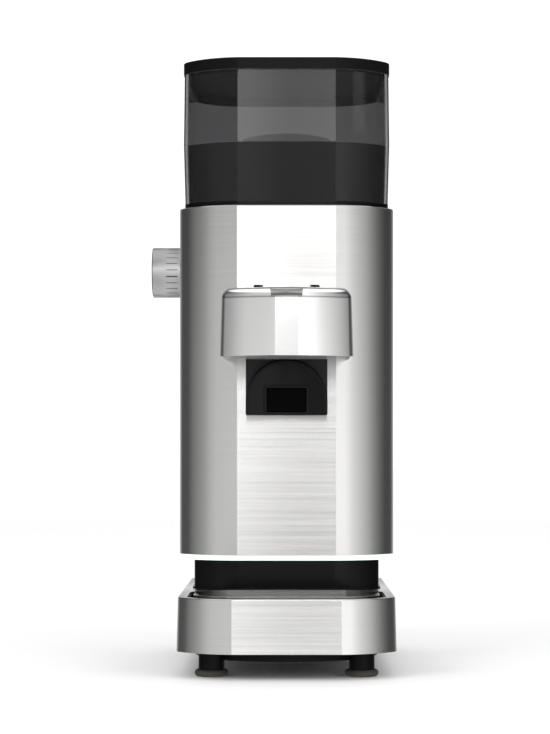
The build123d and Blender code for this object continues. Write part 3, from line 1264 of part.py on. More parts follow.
def ring_burr():
    """Fixed burr: a hard ring with a conical mouth and slanting cutting grooves."""
    ring = disc(BURR_R, RING_BURR_BOTTOM_Z, BURR_RING_TOP_Z)
    slope = (BURR_BOTTOM_R - BURR_TOP_R) / BURR_HEIGHT
    at = lambda z: BURR_TOP_R + (BURR_TOP_Z - z) * slope
    low_r = at(RING_BURR_BOTTOM_Z) + BURR_GAP
    mid_z = RING_BURR_BOTTOM_Z + 6.0
    mid_r = at(mid_z) + BURR_GAP
    ring -= Pos(0, BODY_Y, (RING_BURR_BOTTOM_Z + mid_z) / 2) * Cone(low_r, mid_r,
        mid_z - RING_BURR_BOTTOM_Z)
    top_r = BURR_R - 4.0
    ring -= Pos(0, BODY_Y, (mid_z + BURR_RING_TOP_Z) / 2) * Cone(mid_r, top_r, BURR_RING_TOP_Z - mid_z)
    groove = Pos(mid_r + 1.0, 0, mid_z + 3) * Rot(*RING_GROOVE_TILT) * Box(*RING_GROOVE)
    for cut in around(2 * BURR_GROOVES, groove, RING_GROOVE_PHASE):
        ring -= cut
    return ring


def cone_burr():
    """Turning burr: a hard cone with slanting cutting grooves, bored for the spindle."""
    cone = Pos(0, BODY_Y, (BURR_BOTTOM_Z + BURR_TOP_Z) / 2) * Cone(BURR_BOTTOM_R, BURR_TOP_R, BURR_HEIGHT)
    groove = Pos((BURR_TOP_R + BURR_BOTTOM_R) / 2 + CONE_GROOVE_OUT, 0, (BURR_BOTTOM_Z + BURR_TOP_Z) / 2)
    groove = groove * Rot(*CONE_GROOVE_TILT) * Box(*CONE_GROOVE)
    for cut in around(BURR_GROOVES, groove):
        cone -= cut
    return cone - disc(SPINDLE_R - 1.0 + SEAT, BURR_BOTTOM_Z - 1, BURR_TOP_Z + 1)


def sweeper():
    """Vaned disc under the cone burr that sweeps the grounds to the exit port."""
    z0 = CHAMBER_FLOOR_Z + CHAMBER_FLOOR + SWEEPER_GAP
    plate = disc(BURR_BOTTOM_R - 4, z0, BURR_BOTTOM_Z - SEAT)
    vane = Pos(VANE_R, 0, z0 + VANE[2] / 2) * Box(*VANE)
    for blade in around(4, vane):
        plate += blade
    plate &= disc(CHAMBER_BORE_R - SWEEPER_RIM_GAP, 0, BODY_FAR)
    return plate - disc(SPINDLE_R + SEAT, z0 - 1, BURR_BOTTOM_Z + 1)


def spindle():
    """Stepped steel shaft from the output gear up through both bearings to the cone burr."""
    low = SECOND_WHEEL_Z - SPINDLE_FOOT
    shoulder = BURR_BOTTOM_Z - 2 * SEAT
    return disc(SPINDLE_R, low, shoulder) + disc(SPINDLE_R - 1.0, shoulder, BURR_TOP_Z + SPINDLE_THREAD)


def spindle_nut():
    """Nut that holds the cone burr on the spindle."""
    z0 = BURR_TOP_Z + SEAT
    nut = Pos(0, BODY_Y, z0) * extrude(RegularPolygon(NUT_R, 6), amount=NUT_HEIGHT)
    return nut - disc(SPINDLE_R - 1.0 + SEAT, z0 - 1, z0 + NUT_HEIGHT + 1)


def output_gear():
    """Large gear on the spindle."""
    z1 = SECOND_WHEEL_Z + SECOND_FACE
    wheel = gear(OUTPUT_TEETH, SECOND_MODULE, SPINDLE_R + SEAT, SECOND_WHEEL_Z, z1, BODY_Y, 90)
    return wheel


def idler_gear():
    """Compound gear: the large wheel is driven by the motor and the small one drives the spindle."""
    top = SECOND_WHEEL_Z + SECOND_FACE + 0.5
    bore = IDLER_PIN_R + RUNNING_GAP
    wheel = gear(WHEEL_TEETH, FIRST_MODULE, bore, FIRST_WHEEL_Z, FIRST_WHEEL_Z + FIRST_FACE, IDLER_Y, -90)
    gap_angle = -90 + 180 / IDLER_TEETH
    small = gear(IDLER_TEETH, SECOND_MODULE, bore, FIRST_WHEEL_Z + FIRST_FACE - 0.5, top, IDLER_Y,
        gap_angle)
    return wheel + small


def motor_pinion():
    """Small gear on the motor's shaft, with a gap towards the idler wheel's tooth."""
    z0 = FIRST_WHEEL_Z - 1.0
    gap_angle = 90 + 180 / PINION_TEETH
    return gear(PINION_TEETH, FIRST_MODULE, MOTOR_SHAFT_R + SEAT, z0, z0 + FIRST_FACE + 2, BODY_Y,
        gap_angle)


def gearbox_plan(radius):
    """Plan of the gearbox: two rounds, over the spindle and over the idler, joined."""
    length = GEAR_CENTRES + 2 * radius
    return Pos(0, (BODY_Y + IDLER_Y) / 2) * SlotOverall(length, 2 * radius, rotation=90)


def gearbox_case():
    """Lower half of the gearbox with the idler's fixed pin."""
    top = GEARBOX_COVER_Z
    case = prism(gearbox_plan(GEARBOX_R), GEARBOX_FLOOR_Z + SEAT, top)
    case -= prism(gearbox_plan(GEARBOX_R - GEARBOX_WALL), GEARBOX_FLOOR_Z + GEARBOX_WALL, top + 1)
    case -= disc(MOTOR_SHAFT_R + 1.5, GEARBOX_FLOOR_Z - 1, GEARBOX_FLOOR_Z + OVERCUT)
    case += disc(IDLER_PIN_R + 2, GEARBOX_FLOOR_Z + 1, FIRST_WHEEL_Z - SLIP, 0, IDLER_Y)
    case += disc(IDLER_PIN_R, GEARBOX_FLOOR_Z + 1, top, 0, IDLER_Y)
    return case


def gearbox_cover():
    """Upper half of the gearbox with the lower bearing's seat."""
    z = GEARBOX_COVER_Z
    cover = prism(gearbox_plan(GEARBOX_R), z + SEAT, z + GEARBOX_WALL)
    cover += disc(BEARING_R + BEARING_BOSS, z - COVER_BOSS_DROP, z + 1)
    cover -= disc(BEARING_R + RUNNING_GAP, z - OVERCUT, z + GEARBOX_WALL + 1)
    cover += tube(BEARING_R + BEARING_BOSS, SPINDLE_R + 1.0, z - COVER_LIP_BOTTOM, z - COVER_LIP_TOP)
    cover += tube(BEARING_R + BEARING_BOSS, BEARING_R + RUNNING_GAP,
        z - (COVER_LIP_BOTTOM + COVER_LIP_TOP) / 2, z - 3)
    return cover


def motor_can():
    """Drawn steel can of the motor, with cooling windows."""
    z0 = PLATE_Z - MOTOR_LENGTH
    can = disc(MOTOR_R, z0, PLATE_Z - SEAT) - disc(MOTOR_R - MOTOR_WALL, z0 - 1, PLATE_Z - 4)
    can -= disc(MOTOR_NOSE_R, PLATE_Z - OVERCUT, PLATE_Z + 1)
    window = Pos(MOTOR_R, 0, z0 + MOTOR_WINDOW_Z) * Box(*MOTOR_WINDOW)
    for cut in around(6, window):
        can -= cut
    return can


def motor_magnets():
    """Two curved magnets inside the can."""
    z0 = PLATE_Z - MOTOR_LENGTH + MAGNET_Z
    ring = tube(MOTOR_R - MOTOR_WALL - RUNNING_GAP, ROTOR_R + MAGNET_GAP, z0, z0 + ROTOR_LENGTH + 4)
    return ring - slab(-8, 8, BODY_Y - BODY_FAR, BODY_Y + BODY_FAR, z0 - OVERCUT,
        z0 + ROTOR_LENGTH + 2 * OVERCUT)


def motor_end_cap():
    """End cap with the brush holders and the lower shaft bearing."""
    z1 = PLATE_Z - MOTOR_LENGTH - SEAT
    z0 = z1 - END_CAP_HEIGHT
    cap = disc(MOTOR_R, z0, z1) - disc(MOTOR_R - 3, z0 + PLASTIC_WALL, z1 + 1)
    cap += disc(CAP_BOSS_R, z0, z1)
    for sx in (-1, 1):
        cap += slab(sx * BRUSH_X - 6, sx * BRUSH_X + 6, BODY_Y - 4, BODY_Y + 4, z0 + 2, z1)
    return cap - disc(MOTOR_SHAFT_R + RUNNING_GAP, z0 - 1, z1 + 1)


def rotor():
    """Motor shaft with the laminated core, the commutator and the windings' ends."""
    can_z = PLATE_Z - MOTOR_LENGTH
    z0 = can_z + ROTOR_Z
    z1 = z0 + ROTOR_LENGTH
    core = disc(ROTOR_R, z0, z1)
    slot = Pos(ROTOR_R, 0, (z0 + z1) / 2) * Box(*ROTOR_SLOT, ROTOR_LENGTH + 2)
    for cut in around(ROTOR_SLOTS, slot):
        core -= cut
    shaft = disc(MOTOR_SHAFT_R, can_z - END_CAP_HEIGHT + 1, FIRST_WHEEL_Z + FIRST_FACE + SHAFT_PROUD)
    windings = disc(ROTOR_R - WINDING_INSET, z0 - 6, z1 + 6)
    commutator = disc(COMMUTATOR_R, can_z + 6, z0 - 6)
    return core + shaft + windings + commutator


# ---------------------------------------------------------------- dial


def dial_knob():
    """Turned aluminium dial with engraved marks round its rim."""
    x1 = DIAL_X
    x0 = DIAL_X - DIAL_LENGTH
    knob = along_x(DIAL_R, x0, x1, BODY_Y, DIAL_Z)
    knob = chamfer(knob.edges().group_by(Axis.X)[0], BUTTON_EDGE_R)
    hollow = along_x(DIAL_R - DIAL_WALL, x0 + 4, x1 + 1, BODY_Y, DIAL_Z)
    hub = along_x(DIAL_HUB_R, x0 + 3, x1, BODY_Y, DIAL_Z)
    knob = knob - hollow + hub - along_x(DIAL_SHAFT_R + SEAT, x0 + DIAL_SOCKET, x1 + 1, BODY_Y, DIAL_Z)
    mark_x = x0 + DIAL_MARK_X
    for i in range(DIAL_MARKS):
        width = DIAL_MARK_WIDTH * (DIAL_BOLD if i == 0 else 1.0)
        cut = Pos(mark_x + DIAL_MARK_LENGTH / 2, -DIAL_R, 0) * Box(DIAL_MARK_LENGTH, 2 * DIAL_MARK_DEPTH,
            width)
        angle = -DIAL_FIRST_MARK + 360 / DIAL_MARKS * i
        knob -= Pos(0, BODY_Y, DIAL_Z) * Rot(angle, 0, 0) * cut
    return knob


def dial_shaft():
    """Steel shaft of the dial with its pinion cut on the inner end."""
    face = gear_face(DIAL_PINION_TEETH, DIAL_MODULE, DIAL_TIP_TRIM)
    x1 = DIAL_INNER_X
    plane = Plane(origin=(x1 - DIAL_FACE, BODY_Y, DIAL_Z), x_dir=(0, 1, 0), z_dir=(1, 0, 0))
    turned = Rot(0, 0, 90 + 180 / DIAL_PINION_TEETH) * face
    pinion = extrude(plane * turned, amount=DIAL_FACE)
    return pinion + along_x(DIAL_SHAFT_R, DIAL_X - DIAL_LENGTH + DIAL_SOCKET + SHAFT_END_GAP,
        x1 - DIAL_FACE + SHAFT_END_GAP, BODY_Y, DIAL_Z)


def dial_bearing():
    """Block inside the sleeve that guides the dial's shaft."""
    x0 = -BODY_WIDTH / 2 + SHEET + BLOCK_WALL_GAP
    x1 = -CROWN_PITCH_R - BLOCK_INNER_GAP
    block = slab(x0, x1, BODY_Y - BLOCK_HALF, BODY_Y + BLOCK_HALF, DIAL_Z - BLOCK_HALF, DIAL_Z + BLOCK_RISE)
    block += slab(x0, x0 + 2, BODY_Y - BLOCK_FLANGE_HALF, BODY_Y + BLOCK_FLANGE_HALF, DIAL_Z - BLOCK_HALF,
        DIAL_Z + BLOCK_RISE)
    return block - along_x(DIAL_SHAFT_R + RUNNING_GAP, x0 - 1, x1 + 1, BODY_Y, DIAL_Z)


# ---------------------------------------------------------------- electrics and fasteners
def board_with_parts(x0, x1, z0, z1, y, parts):
    """Upright board with a list of blocks (x, z, width, height, depth) on its front."""
    board = slab(x0, x1, y, y + BOARD_THICKNESS, z0, z1)
    for x, z, w, h, d in parts:
        board += slab(x - w / 2, x + w / 2, y - d, y, z - h / 2, z + h / 2)
    return board


def control_board():
    """Upright control board behind the motor."""
    w, h = CONTROL_BOARD
    z0 = FLOOR_PLATE_Z + PLATE
    parts = [(x, z0 + z, pw, ph, pd) for x, z, pw, ph, pd in CONTROL_PARTS]
    return board_with_parts(-w / 2, w / 2, z0, z0 + h, BOARD_Y, parts)


def power_board():
    """Flat power board in the base under the neck."""
    w, d = POWER_BOARD
    z = COVER_PLATE_TOP_Z + 2.0
    y0 = BASE_REAR_Y - REAR_POST_INSET - 8 - d
    board = slab(-w / 2, w / 2, y0, y0 + d, z, z + BOARD_THICKNESS)
    top = z + BOARD_THICKNESS
    for x, y, bw, bd, bh in POWER_PARTS:
        board += slab(x - bw / 2, x + bw / 2, y0 + y - bd / 2, y0 + y + bd / 2, top, top + bh)
    for x in (-w / 2 + 4, w / 2 - 4):
        for y in (y0 + 4, y0 + d - 4):
            board += disc(BOARD_POST_R, PAN_BOTTOM_Z + PAN_WALL + SEAT, z, x, y)
    return board


def cable_gland():
    """Strain relief in the base's back wall. The cord's way in is its bore."""
    wall_y = BASE_REAR_Y - 0.5
    gland = along_y(GLAND_R, wall_y - GLAND_LENGTH, wall_y + 3, 0, GLAND_Z)
    gland += along_y(GLAND_FLANGE_R, wall_y + GLAND_SEAT, wall_y + GLAND_COLLAR, 0, GLAND_Z)
    gland += along_y(GLAND_FLANGE_R, wall_y - GLAND_NUT_BACK, wall_y - GLAND_NUT_FRONT, 0, GLAND_Z)
    return gland - along_y(GLAND_BORE_R, wall_y - GLAND_LENGTH - 1, wall_y + 2 * OVERCUT, 0, GLAND_Z)


def case_screws():
    """Screws of the case: four long ones up the neck, four in the top deck and four behind the hood."""
    neck_z = BASE_TOP_Z - SHEET - SEAT
    shapes = column_screws(lambda x, y: screw(x, y, neck_z, FLOOR_PLATE_Z + 8 - neck_z))
    shapes += [screw(x, y, SLEEVE_TOP_Z - (SCREW_RECESS - SEAT), DECK_SCREW_LENGTH, True) for x,
        y in deck_screw_places()]
    seat = BODY_FRONT_Y + SHEET + RUNNING_GAP + hood_screw_setback()
    for x in (-HOOD_SCREW_X, HOOD_SCREW_X):
        for z in HOOD_SCREW_ZS:
            shank = along_y(SCREW_R, BODY_FRONT_Y - HOOD_SCREW_REACH, seat, x, z)
            shapes.append(shank + along_y(SCREW_HEAD_R, seat, seat + SCREW_HEAD_HEIGHT, x, z))
    return solids(shapes)


def hood_screw_setback():
    """How far the tower's front has curved back at the hood screws' heads."""
    s, s0 = sin(radians(WIDE_CORNER_SWEEP)), sin(radians(FACE_CREASE))
    flat = BODY_WIDTH / 2 - BODY_WIDE_R * (s - s0) - BODY_TIGHT_R * (1 - s)
    reach = HOOD_SCREW_X + SCREW_HEAD_R
    if reach <= flat:
        return 0.0
    across = reach - flat + BODY_WIDE_R * s0
    return BODY_WIDE_R * cos(radians(FACE_CREASE)) - sqrt(BODY_WIDE_R**2 - across**2)


def build():
    """Makes every piece and writes it to parts."""
    pieces = {
        "base_shell": base_shell,
        "bottom_cover": bottom_cover,
        "tray_tub": tray_tub,
        "crumb_tray": crumb_tray,
        "neck_column": neck_column,
        "light_ring": light_ring,
        "led_board": led_board,
        "body_sleeve": body_sleeve,
        "top_deck": top_deck,
        "chassis": chassis,
        "mount_plate": mount_plate,
        "upper_columns": upper_columns,
        "hopper_body": hopper_body,
        "hopper_funnel": hopper_funnel,
        "hopper_base": hopper_base,
        "bean_guard": bean_guard,
        "hopper_lid": lid,
        "lid_seal": lid_seal,
        "hood_shell": hood_shell,
        "hood_plate": hood_plate,
        "single_cup_button": lambda: cup_button(-1),
        "double_cup_button": lambda: cup_button(1),
        "button_board": button_board,
        "cradle_block": cradle_block,
        "cradle_arch": cradle_arch,
        "start_bezel": start_bezel,
        "start_button": start_button,
        "micro_switches": micro_switches,
        "grounds_chute": grounds_chute,
        "chute_flap": chute_flap,
        "burr_chamber": burr_chamber,
        "spindle_bearings": spindle_bearings,
        "adjuster_ring": adjuster_ring,
        "burr_carrier": burr_carrier,
        "ring_burr": ring_burr,
        "cone_burr": cone_burr,
        "sweeper": sweeper,
        "spindle": spindle,
        "spindle_nut": spindle_nut,
        "output_gear": output_gear,
        "idler_gear": idler_gear,
        "motor_pinion": motor_pinion,
        "gearbox_case": gearbox_case,
        "gearbox_cover": gearbox_cover,
        "motor_can": motor_can,
        "motor_magnets": motor_magnets,
        "motor_end_cap": motor_end_cap,
        "motor_rotor": rotor,
        "dial_knob": dial_knob,
        "dial_shaft": dial_shaft,
        "dial_bearing": dial_bearing,
        "control_board": control_board,
        "power_board": power_board,
        "cable_gland": cable_gland,
        "case_screws": case_screws,
    }
    for name, make in pieces.items():
        export_step(make(), f"parts/{name}.step")
    pads = [foot_pad(x, y) for x, y in foot_places().values()]
    for place, pad in zip(foot_places(), pads):
        export_step(pad, f"parts/foot_pad_{place}.step")


build()
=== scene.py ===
import json
from math import cos, pi, radians, sin, tan

import bmesh
import bpy
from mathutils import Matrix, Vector

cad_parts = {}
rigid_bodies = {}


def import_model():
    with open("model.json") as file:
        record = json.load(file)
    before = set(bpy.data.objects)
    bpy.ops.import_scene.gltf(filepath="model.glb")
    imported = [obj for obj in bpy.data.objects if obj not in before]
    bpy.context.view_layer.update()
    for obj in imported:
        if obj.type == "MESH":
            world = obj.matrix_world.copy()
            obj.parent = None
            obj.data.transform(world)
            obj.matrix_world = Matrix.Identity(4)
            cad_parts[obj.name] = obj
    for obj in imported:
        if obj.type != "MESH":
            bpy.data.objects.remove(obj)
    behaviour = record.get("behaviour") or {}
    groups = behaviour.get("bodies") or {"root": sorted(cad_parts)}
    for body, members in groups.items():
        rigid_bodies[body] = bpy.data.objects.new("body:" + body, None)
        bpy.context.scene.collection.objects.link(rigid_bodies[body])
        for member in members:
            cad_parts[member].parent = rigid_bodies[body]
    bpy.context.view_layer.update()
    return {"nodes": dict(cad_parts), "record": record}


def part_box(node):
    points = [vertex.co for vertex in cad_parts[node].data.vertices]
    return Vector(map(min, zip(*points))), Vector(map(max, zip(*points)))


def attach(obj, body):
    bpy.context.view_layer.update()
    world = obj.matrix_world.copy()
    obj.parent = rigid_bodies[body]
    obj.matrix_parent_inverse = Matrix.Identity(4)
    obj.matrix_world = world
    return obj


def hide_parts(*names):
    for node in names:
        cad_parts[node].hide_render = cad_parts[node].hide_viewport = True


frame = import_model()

bl_info = {
    "name": "Burr coffee grinder",
    "version": (1, 0, 0),
    "blender": (4, 5, 0),
    "location": "View3D > Sidebar > Grinder",
    "description": "Builds the finish of a burr coffee grinder round its CAD frame",
    "category": "Object",
}

MM = 0.001
SLOT_OF = {part["node"]: part["material_slot"] for part in frame["record"]["subparts"]}
BODY_OF = {node: body for body, nodes in frame["record"]["behaviour"]["bodies"].items() for node in nodes}

# Steps of the round stretches, and the angle above which an edge stays sharp.
ARC_STEPS = 16
EDGE_STEPS = 24
BORE_STEPS = 64
HOOD_SHARP = radians(4.2)
PLATE_SHARP = radians(30)

# Cuts in the hood. A cutter reaches past the surface that it opens.
BUTTON_BORE_RADIUS = 3.55 * MM
CUTTER_REACH = 9 * MM
SLOPE_CUTTER_AHEAD = 2 * MM
SLOPE_CUTTER_HEIGHT = 5 * MM
INSIDE_SLOPE_GROWTH = 2 * MM
EDGE_LEAD = 0.6 * MM
LEAST_RADIUS = 1 * MM

# The plate in its seat.
PLATE_GAP = 0.15 * MM
PLATE_LIFT = 0.02 * MM
PLATE_SETBACK = 1.9 * MM
PLATE_EDGE = 0.18 * MM
PLATE_EDGE_STEPS = 3

# Share of a dial mark's depth that is filled.
MARK_FILL = 0.7

# Camera, floor and tent.
SENSOR_WIDTH = 36
CAMERA_REACH = 60
CAMERA_SHIFT = (-0.0158, 0.113)
FLOOR_RADIUS = 14
RING_STEPS = 96
TENT_TALL = 9.0
TENT_SCALE = 2.0
TENT_FRONT = 8

# Light of the tent by its direction in degrees, 0 straight in front and positive to the right.
TENT_LIGHT = (
    (-180, 0.75), (-150, 0.45), (-120, 0.10), (-94, 0.10), (-80, 0.28), (-71, 0.36), (-62, 0.46), (-54, 0.60),
    (-44, 0.72), (-10, 0.78), (-4, 1.20), (-1.6, 1.0), (-0.6, 0.70), (0.2, 0.64), (1.8, 0.70), (8, 1.36),
    (24, 1.34), (30, 1.22), (37, 1.0), (45, 0.85), (53, 0.71), (61, 0.56), (69, 0.39), (78, 0.24), (86, 0.15),
    (94, 0.08), (120, 0.10), (150, 0.45), (180, 0.75),
)
# The tent's light also changes with height, in metres above the ground: away from the front, and in front,
# which is TENT_FRONT degrees to each side.
TENT_HEIGHT = (
    (0, 1.0), (0.45, 1.0), (0.52, 0.88), (0.75, 0.88), (0.86, 0.35), (1.25, 0.35), (1.6, 0.7), (2.0, 0.8),
)
FRONT_HEIGHT = ((0, 1.0), (0.72, 1.0), (0.84, 4.2), (1.25, 4.2), (1.5, 1.0))

# Lamps: name, place, size and power. They aim at LAMP_TARGET.
LAMPS = (
    ("key", (-1.6, -1.6, 1.9), (1.0, 1.4), 16),
    ("fill", (1.5, -1.2, 1.3), (0.8, 1.2), 8),
)
LAMP_TARGET = (0, 0, 0.25)


# ---------------------------------------------------------------- sizes and colours
class CornerSizes(bpy.types.PropertyGroup):
    """How the outlines of the tower and the hood turn their corners."""

    crease: bpy.props.FloatProperty(
        name="Crease", description="Angle between the flat front and the wide arc",
        default=radians(5), subtype="ANGLE")
    tower_sweep: bpy.props.FloatProperty(
        name="Tower sweep", description="Angle where the tower's wide arc hands over to the tight one",
        default=radians(50), subtype="ANGLE")
    tower_wide: bpy.props.FloatProperty(
        name="Tower wide radius", description="Wide corner radius of the tower",
        default=56.4 * MM, unit="LENGTH")
    tower_tight: bpy.props.FloatProperty(
        name="Tower tight radius", description="Tight corner radius of the tower",
        default=15 * MM, unit="LENGTH")
    hood_sweep: bpy.props.FloatProperty(
        name="Hood sweep", description="Angle where the hood's wide arc hands over to the tight one",
        default=radians(35), subtype="ANGLE")
    hood_wide: bpy.props.FloatProperty(
        name="Hood wide radius", description="Wide corner radius of the hood",
        default=70.5 * MM, unit="LENGTH")
    hood_tight: bpy.props.FloatProperty(
        name="Hood tight radius", description="Tight corner radius of the hood",
        default=8 * MM, unit="LENGTH")


class HoodSizes(bpy.types.PropertyGroup):
    """The hood over the outlet and its sloping plate."""

    wall: bpy.props.FloatProperty(
        name="Wall", description="Wall thickness of the hood", default=2 * MM, unit="LENGTH")
    draft: bpy.props.FloatProperty(
        name="Draft", description="Lean of the hood's walls", default=radians(1.8), subtype="ANGLE")
    edge: bpy.props.FloatProperty(
        name="Top edge", description="Radius of the hood's top edge", default=8 * MM, unit="LENGTH")
    plate_front: bpy.props.FloatProperty(
        name="Plate front width", description="Width of the plate at its front edge",
        default=20 * MM, unit="LENGTH")
    plate_rear: bpy.props.FloatProperty(
        name="Plate rear width", description="Width of the plate at its rear edge",
        default=31.6 * MM, unit="LENGTH")
    plate_drop: bpy.props.FloatProperty(
        name="Plate drop", description="How far the plate's slope falls to the hood's front",
        default=7 * MM, unit="LENGTH")
    plate_run: bpy.props.FloatProperty(
        name="Plate run", description="Length of the plate's slope from front to rear",
        default=25 * MM, unit="LENGTH")
    plate_thickness: bpy.props.FloatProperty(
        name="Plate thickness", description="Thickness of the plate", default=1 * MM, unit="LENGTH")


class FinishColours(bpy.types.PropertyGroup):
    """Colours and roughness of the finishes."""

    steel: bpy.props.FloatVectorProperty(
        name="Steel", description="Colour of the brushed steel", size=3, subtype="COLOR",
        default=(0.74, 0.735, 0.725), min=0, max=1)
    steel_roughness: bpy.props.FloatProperty(
        name="Steel roughness", description="Mean roughness of the brushed steel",
        default=0.21, min=0, max=1, subtype="FACTOR")
    chrome: bpy.props.FloatVectorProperty(
        name="Hood metal", description="Colour of the polished hood", size=3, subtype="COLOR",
        default=(0.95, 0.945, 0.94), min=0, max=1)
    smoke: bpy.props.FloatVectorProperty(
        name="Smoke", description="Tint of the hopper's wall", size=3, subtype="COLOR",
        default=(0.23, 0.23, 0.235), min=0, max=1)
    black: bpy.props.FloatVectorProperty(
        name="Black plastic", description="Colour of the moulded black parts", size=3, subtype="COLOR",
        default=(0.004, 0.004, 0.0044), min=0, max=1)
    glow: bpy.props.FloatVectorProperty(
        name="Light ring", description="Colour of the light ring", size=3, subtype="COLOR",
        default=(0.86, 1.0, 0.90), min=0, max=1)
    glow_strength: bpy.props.FloatProperty(
        name="Light ring strength", description="Brightness of the light ring", default=0.55, min=0)


class DialSizes(bpy.types.PropertyGroup):
    """The grind dial's marks."""

    marks: bpy.props.IntProperty(name="Marks", description="Number of engraved marks", default=24, min=4)
    mark_start: bpy.props.FloatProperty(
        name="Mark start", description="From the dial's outer face to its marks",
        default=10.6 * MM, unit="LENGTH")
    mark_length: bpy.props.FloatProperty(
        name="Mark length", description="Length of a mark along the dial", default=8.5 * MM, unit="LENGTH")
    mark_width: bpy.props.FloatProperty(
        name="Mark width", description="Width of a mark round the dial", default=0.55 * MM, unit="LENGTH")
    mark_depth: bpy.props.FloatProperty(
        name="Mark depth", description="Depth of a mark", default=0.35 * MM, unit="LENGTH")
    bold: bpy.props.FloatProperty(
        name="Bold mark", description="How much wider the first mark is", default=1.9, min=1)
    first: bpy.props.FloatProperty(
        name="First mark", description="Turn of the first mark from the front",
        default=radians(13), subtype="ANGLE")


class StageSizes(bpy.types.PropertyGroup):
    """Camera, floor and lights."""

    distance: bpy.props.FloatProperty(
        name="Camera distance", description="From the base's front to the camera", default=1.3, unit="LENGTH")
    height: bpy.props.FloatProperty(
        name="Camera height", description="Height of the level camera", default=0.153, unit="LENGTH")
    lens: bpy.props.FloatProperty(
        name="Lens", description="Focal length", default=96.4, unit="CAMERA")
    background: bpy.props.FloatProperty(
        name="Background", description="Brightness of the white surroundings", default=1.12, min=0)
    tent_radius: bpy.props.FloatProperty(
        name="Tent radius", description="Radius of the light tent", default=3.0, unit="LENGTH")


# ---------------------------------------------------------------- node trees
class Wire:
    """An output socket on a sheet. Arithmetic with it adds Math nodes."""

    def __init__(self, sheet, socket):
        self.sheet, self.socket = sheet, socket

    def math(self, operation, a, b):
        return self.sheet.add("ShaderNodeMath", {0: a, 1: b}, operation=operation)

    def __add__(self, other):
        return self.math("ADD", self, other)

    def __radd__(self, other):
        return self.math("ADD", other, self)

    def __sub__(self, other):
        return self.math("SUBTRACT", self, other)

    def __rsub__(self, other):
        return self.math("SUBTRACT", other, self)

    def __mul__(self, other):
        return self.math("MULTIPLY", self, other)

    def __rmul__(self, other):
        return self.math("MULTIPLY", other, self)

    def __truediv__(self, other):
        return self.math("DIVIDE", self, other)


class Sheet:
    """A node tree that is filled with one method."""

    def __init__(self, tree):
        self.tree = tree

    def node(self, kind, sockets=(), **settings):
        """Adds a node. Its settings are set first, then its sockets take values or wires."""
        node = self.tree.nodes.new(kind)
        stops = settings.pop("stops", None)
        for key, value in settings.items():
            setattr(node, key, value)
        if stops:
            ramp = node.color_ramp
            while len(ramp.elements) < len(stops):
                ramp.elements.new(0.5)
            for element, (place, colour) in zip(ramp.elements, stops):
                element.position = place
                element.color = colour if hasattr(colour, "__len__") else (colour, colour, colour, 1)
        for key, value in dict(sockets).items():
            if isinstance(value, Wire):
                self.tree.links.new(value.socket, node.inputs[key])
            else:
                node.inputs[key].default_value = value
        return node

    def add(self, kind, sockets=(), output=0, **settings):
        """Adds a node and returns the wire of one of its outputs."""
        return Wire(self, self.node(kind, sockets, **settings).outputs[output])


class Finish(Sheet):
    """A material being made: one Principled shader, and patterns on the object's own coordinates."""

    def __init__(self, name, **constants):
        self.material = bpy.data.materials.new(name + "_finish")
        self.material.use_nodes = True
        super().__init__(self.material.node_tree)
        self.shader = self.tree.nodes["Principled BSDF"]
        self.place = self.add("ShaderNodeTexCoord", output="Object")
        for socket, value in constants.items():
            self.shader.inputs[socket.replace("_", " ")].default_value = value

    def set(self, socket, wire):
        """Feeds a socket of the shader."""
        self.tree.links.new(wire.socket, self.shader.inputs[socket])

    def noise(self, scale, detail=2.0, roughness=0.5, stretch=(1, 1, 1)):
        """Noise from 0 to 1. A small stretch draws it out along that axis."""
        place = self.add("ShaderNodeMapping", {"Vector": self.place, "Scale": stretch})
        return self.add("ShaderNodeTexNoise", {
            "Vector": place, "Scale": scale, "Detail": detail, "Roughness": roughness})

    def blend(self, amount, dark, light):
        """Colour between two, by amount."""
        factor, first, second, result = 0, 6, 7, 2
        colours = {factor: amount, first: (*dark, 1), second: (*light, 1)}
        return self.add("ShaderNodeMix", colours, output=result, data_type="RGBA")

    def bump(self, height, strength, distance):
        """Fine relief. Distance is its depth."""
        wire = self.add("ShaderNodeBump", {"Height": height, "Strength": strength, "Distance": distance})
        self.set("Normal", wire)


def shade(colour, factor):
    """A colour made darker or lighter."""
    return tuple(min(1.0, c * factor) for c in colour)


# ---------------------------------------------------------------- finishes
def brushed(name, colour, roughness, grain=1.0, flat_top=False):
    """Brushed metal: fine streaks run level round the upright faces, and along X on the flat ones."""
    f = Finish(name, Metallic=1.0, Anisotropic=0.93, Anisotropic_Rotation=0.25)
    fine = f.noise(900, 2, 0.6, (0.012, 0.012, 1.0))
    coarse = f.noise(260, 2, 0.5, (0.02, 0.02, 1.0))
    if flat_top:
        fine_top = f.noise(900, 2, 0.6, (0.012, 1.0, 0.3))
        normal = f.add("ShaderNodeTexCoord", output="Normal")
        upward = f.add("ShaderNodeSeparateXYZ", {"Vector": normal}, output="Z")
        level = f.add("ShaderNodeMath", {0: upward, 1: 0.8}, operation="GREATER_THAN")
        fine = fine * (1 - level) + fine_top * level
    cloud = f.noise(9, 2, 0.5, (0.5, 0.5, 1.6))
    streak = fine * 0.6 + coarse * 0.4
    tone = streak * 0.7 + cloud * 0.3
    f.set("Base Color", f.blend(tone, shade(colour, 1 - 0.13 * grain), shade(colour, 1 + 0.12 * grain)))
    f.set("Roughness", roughness + (streak - 0.5) * (0.22 * grain) + (cloud - 0.5) * 0.06)
    f.bump(fine * 0.7 + coarse * 0.3, 0.10 * grain, 0.08 * MM)
    return f.material


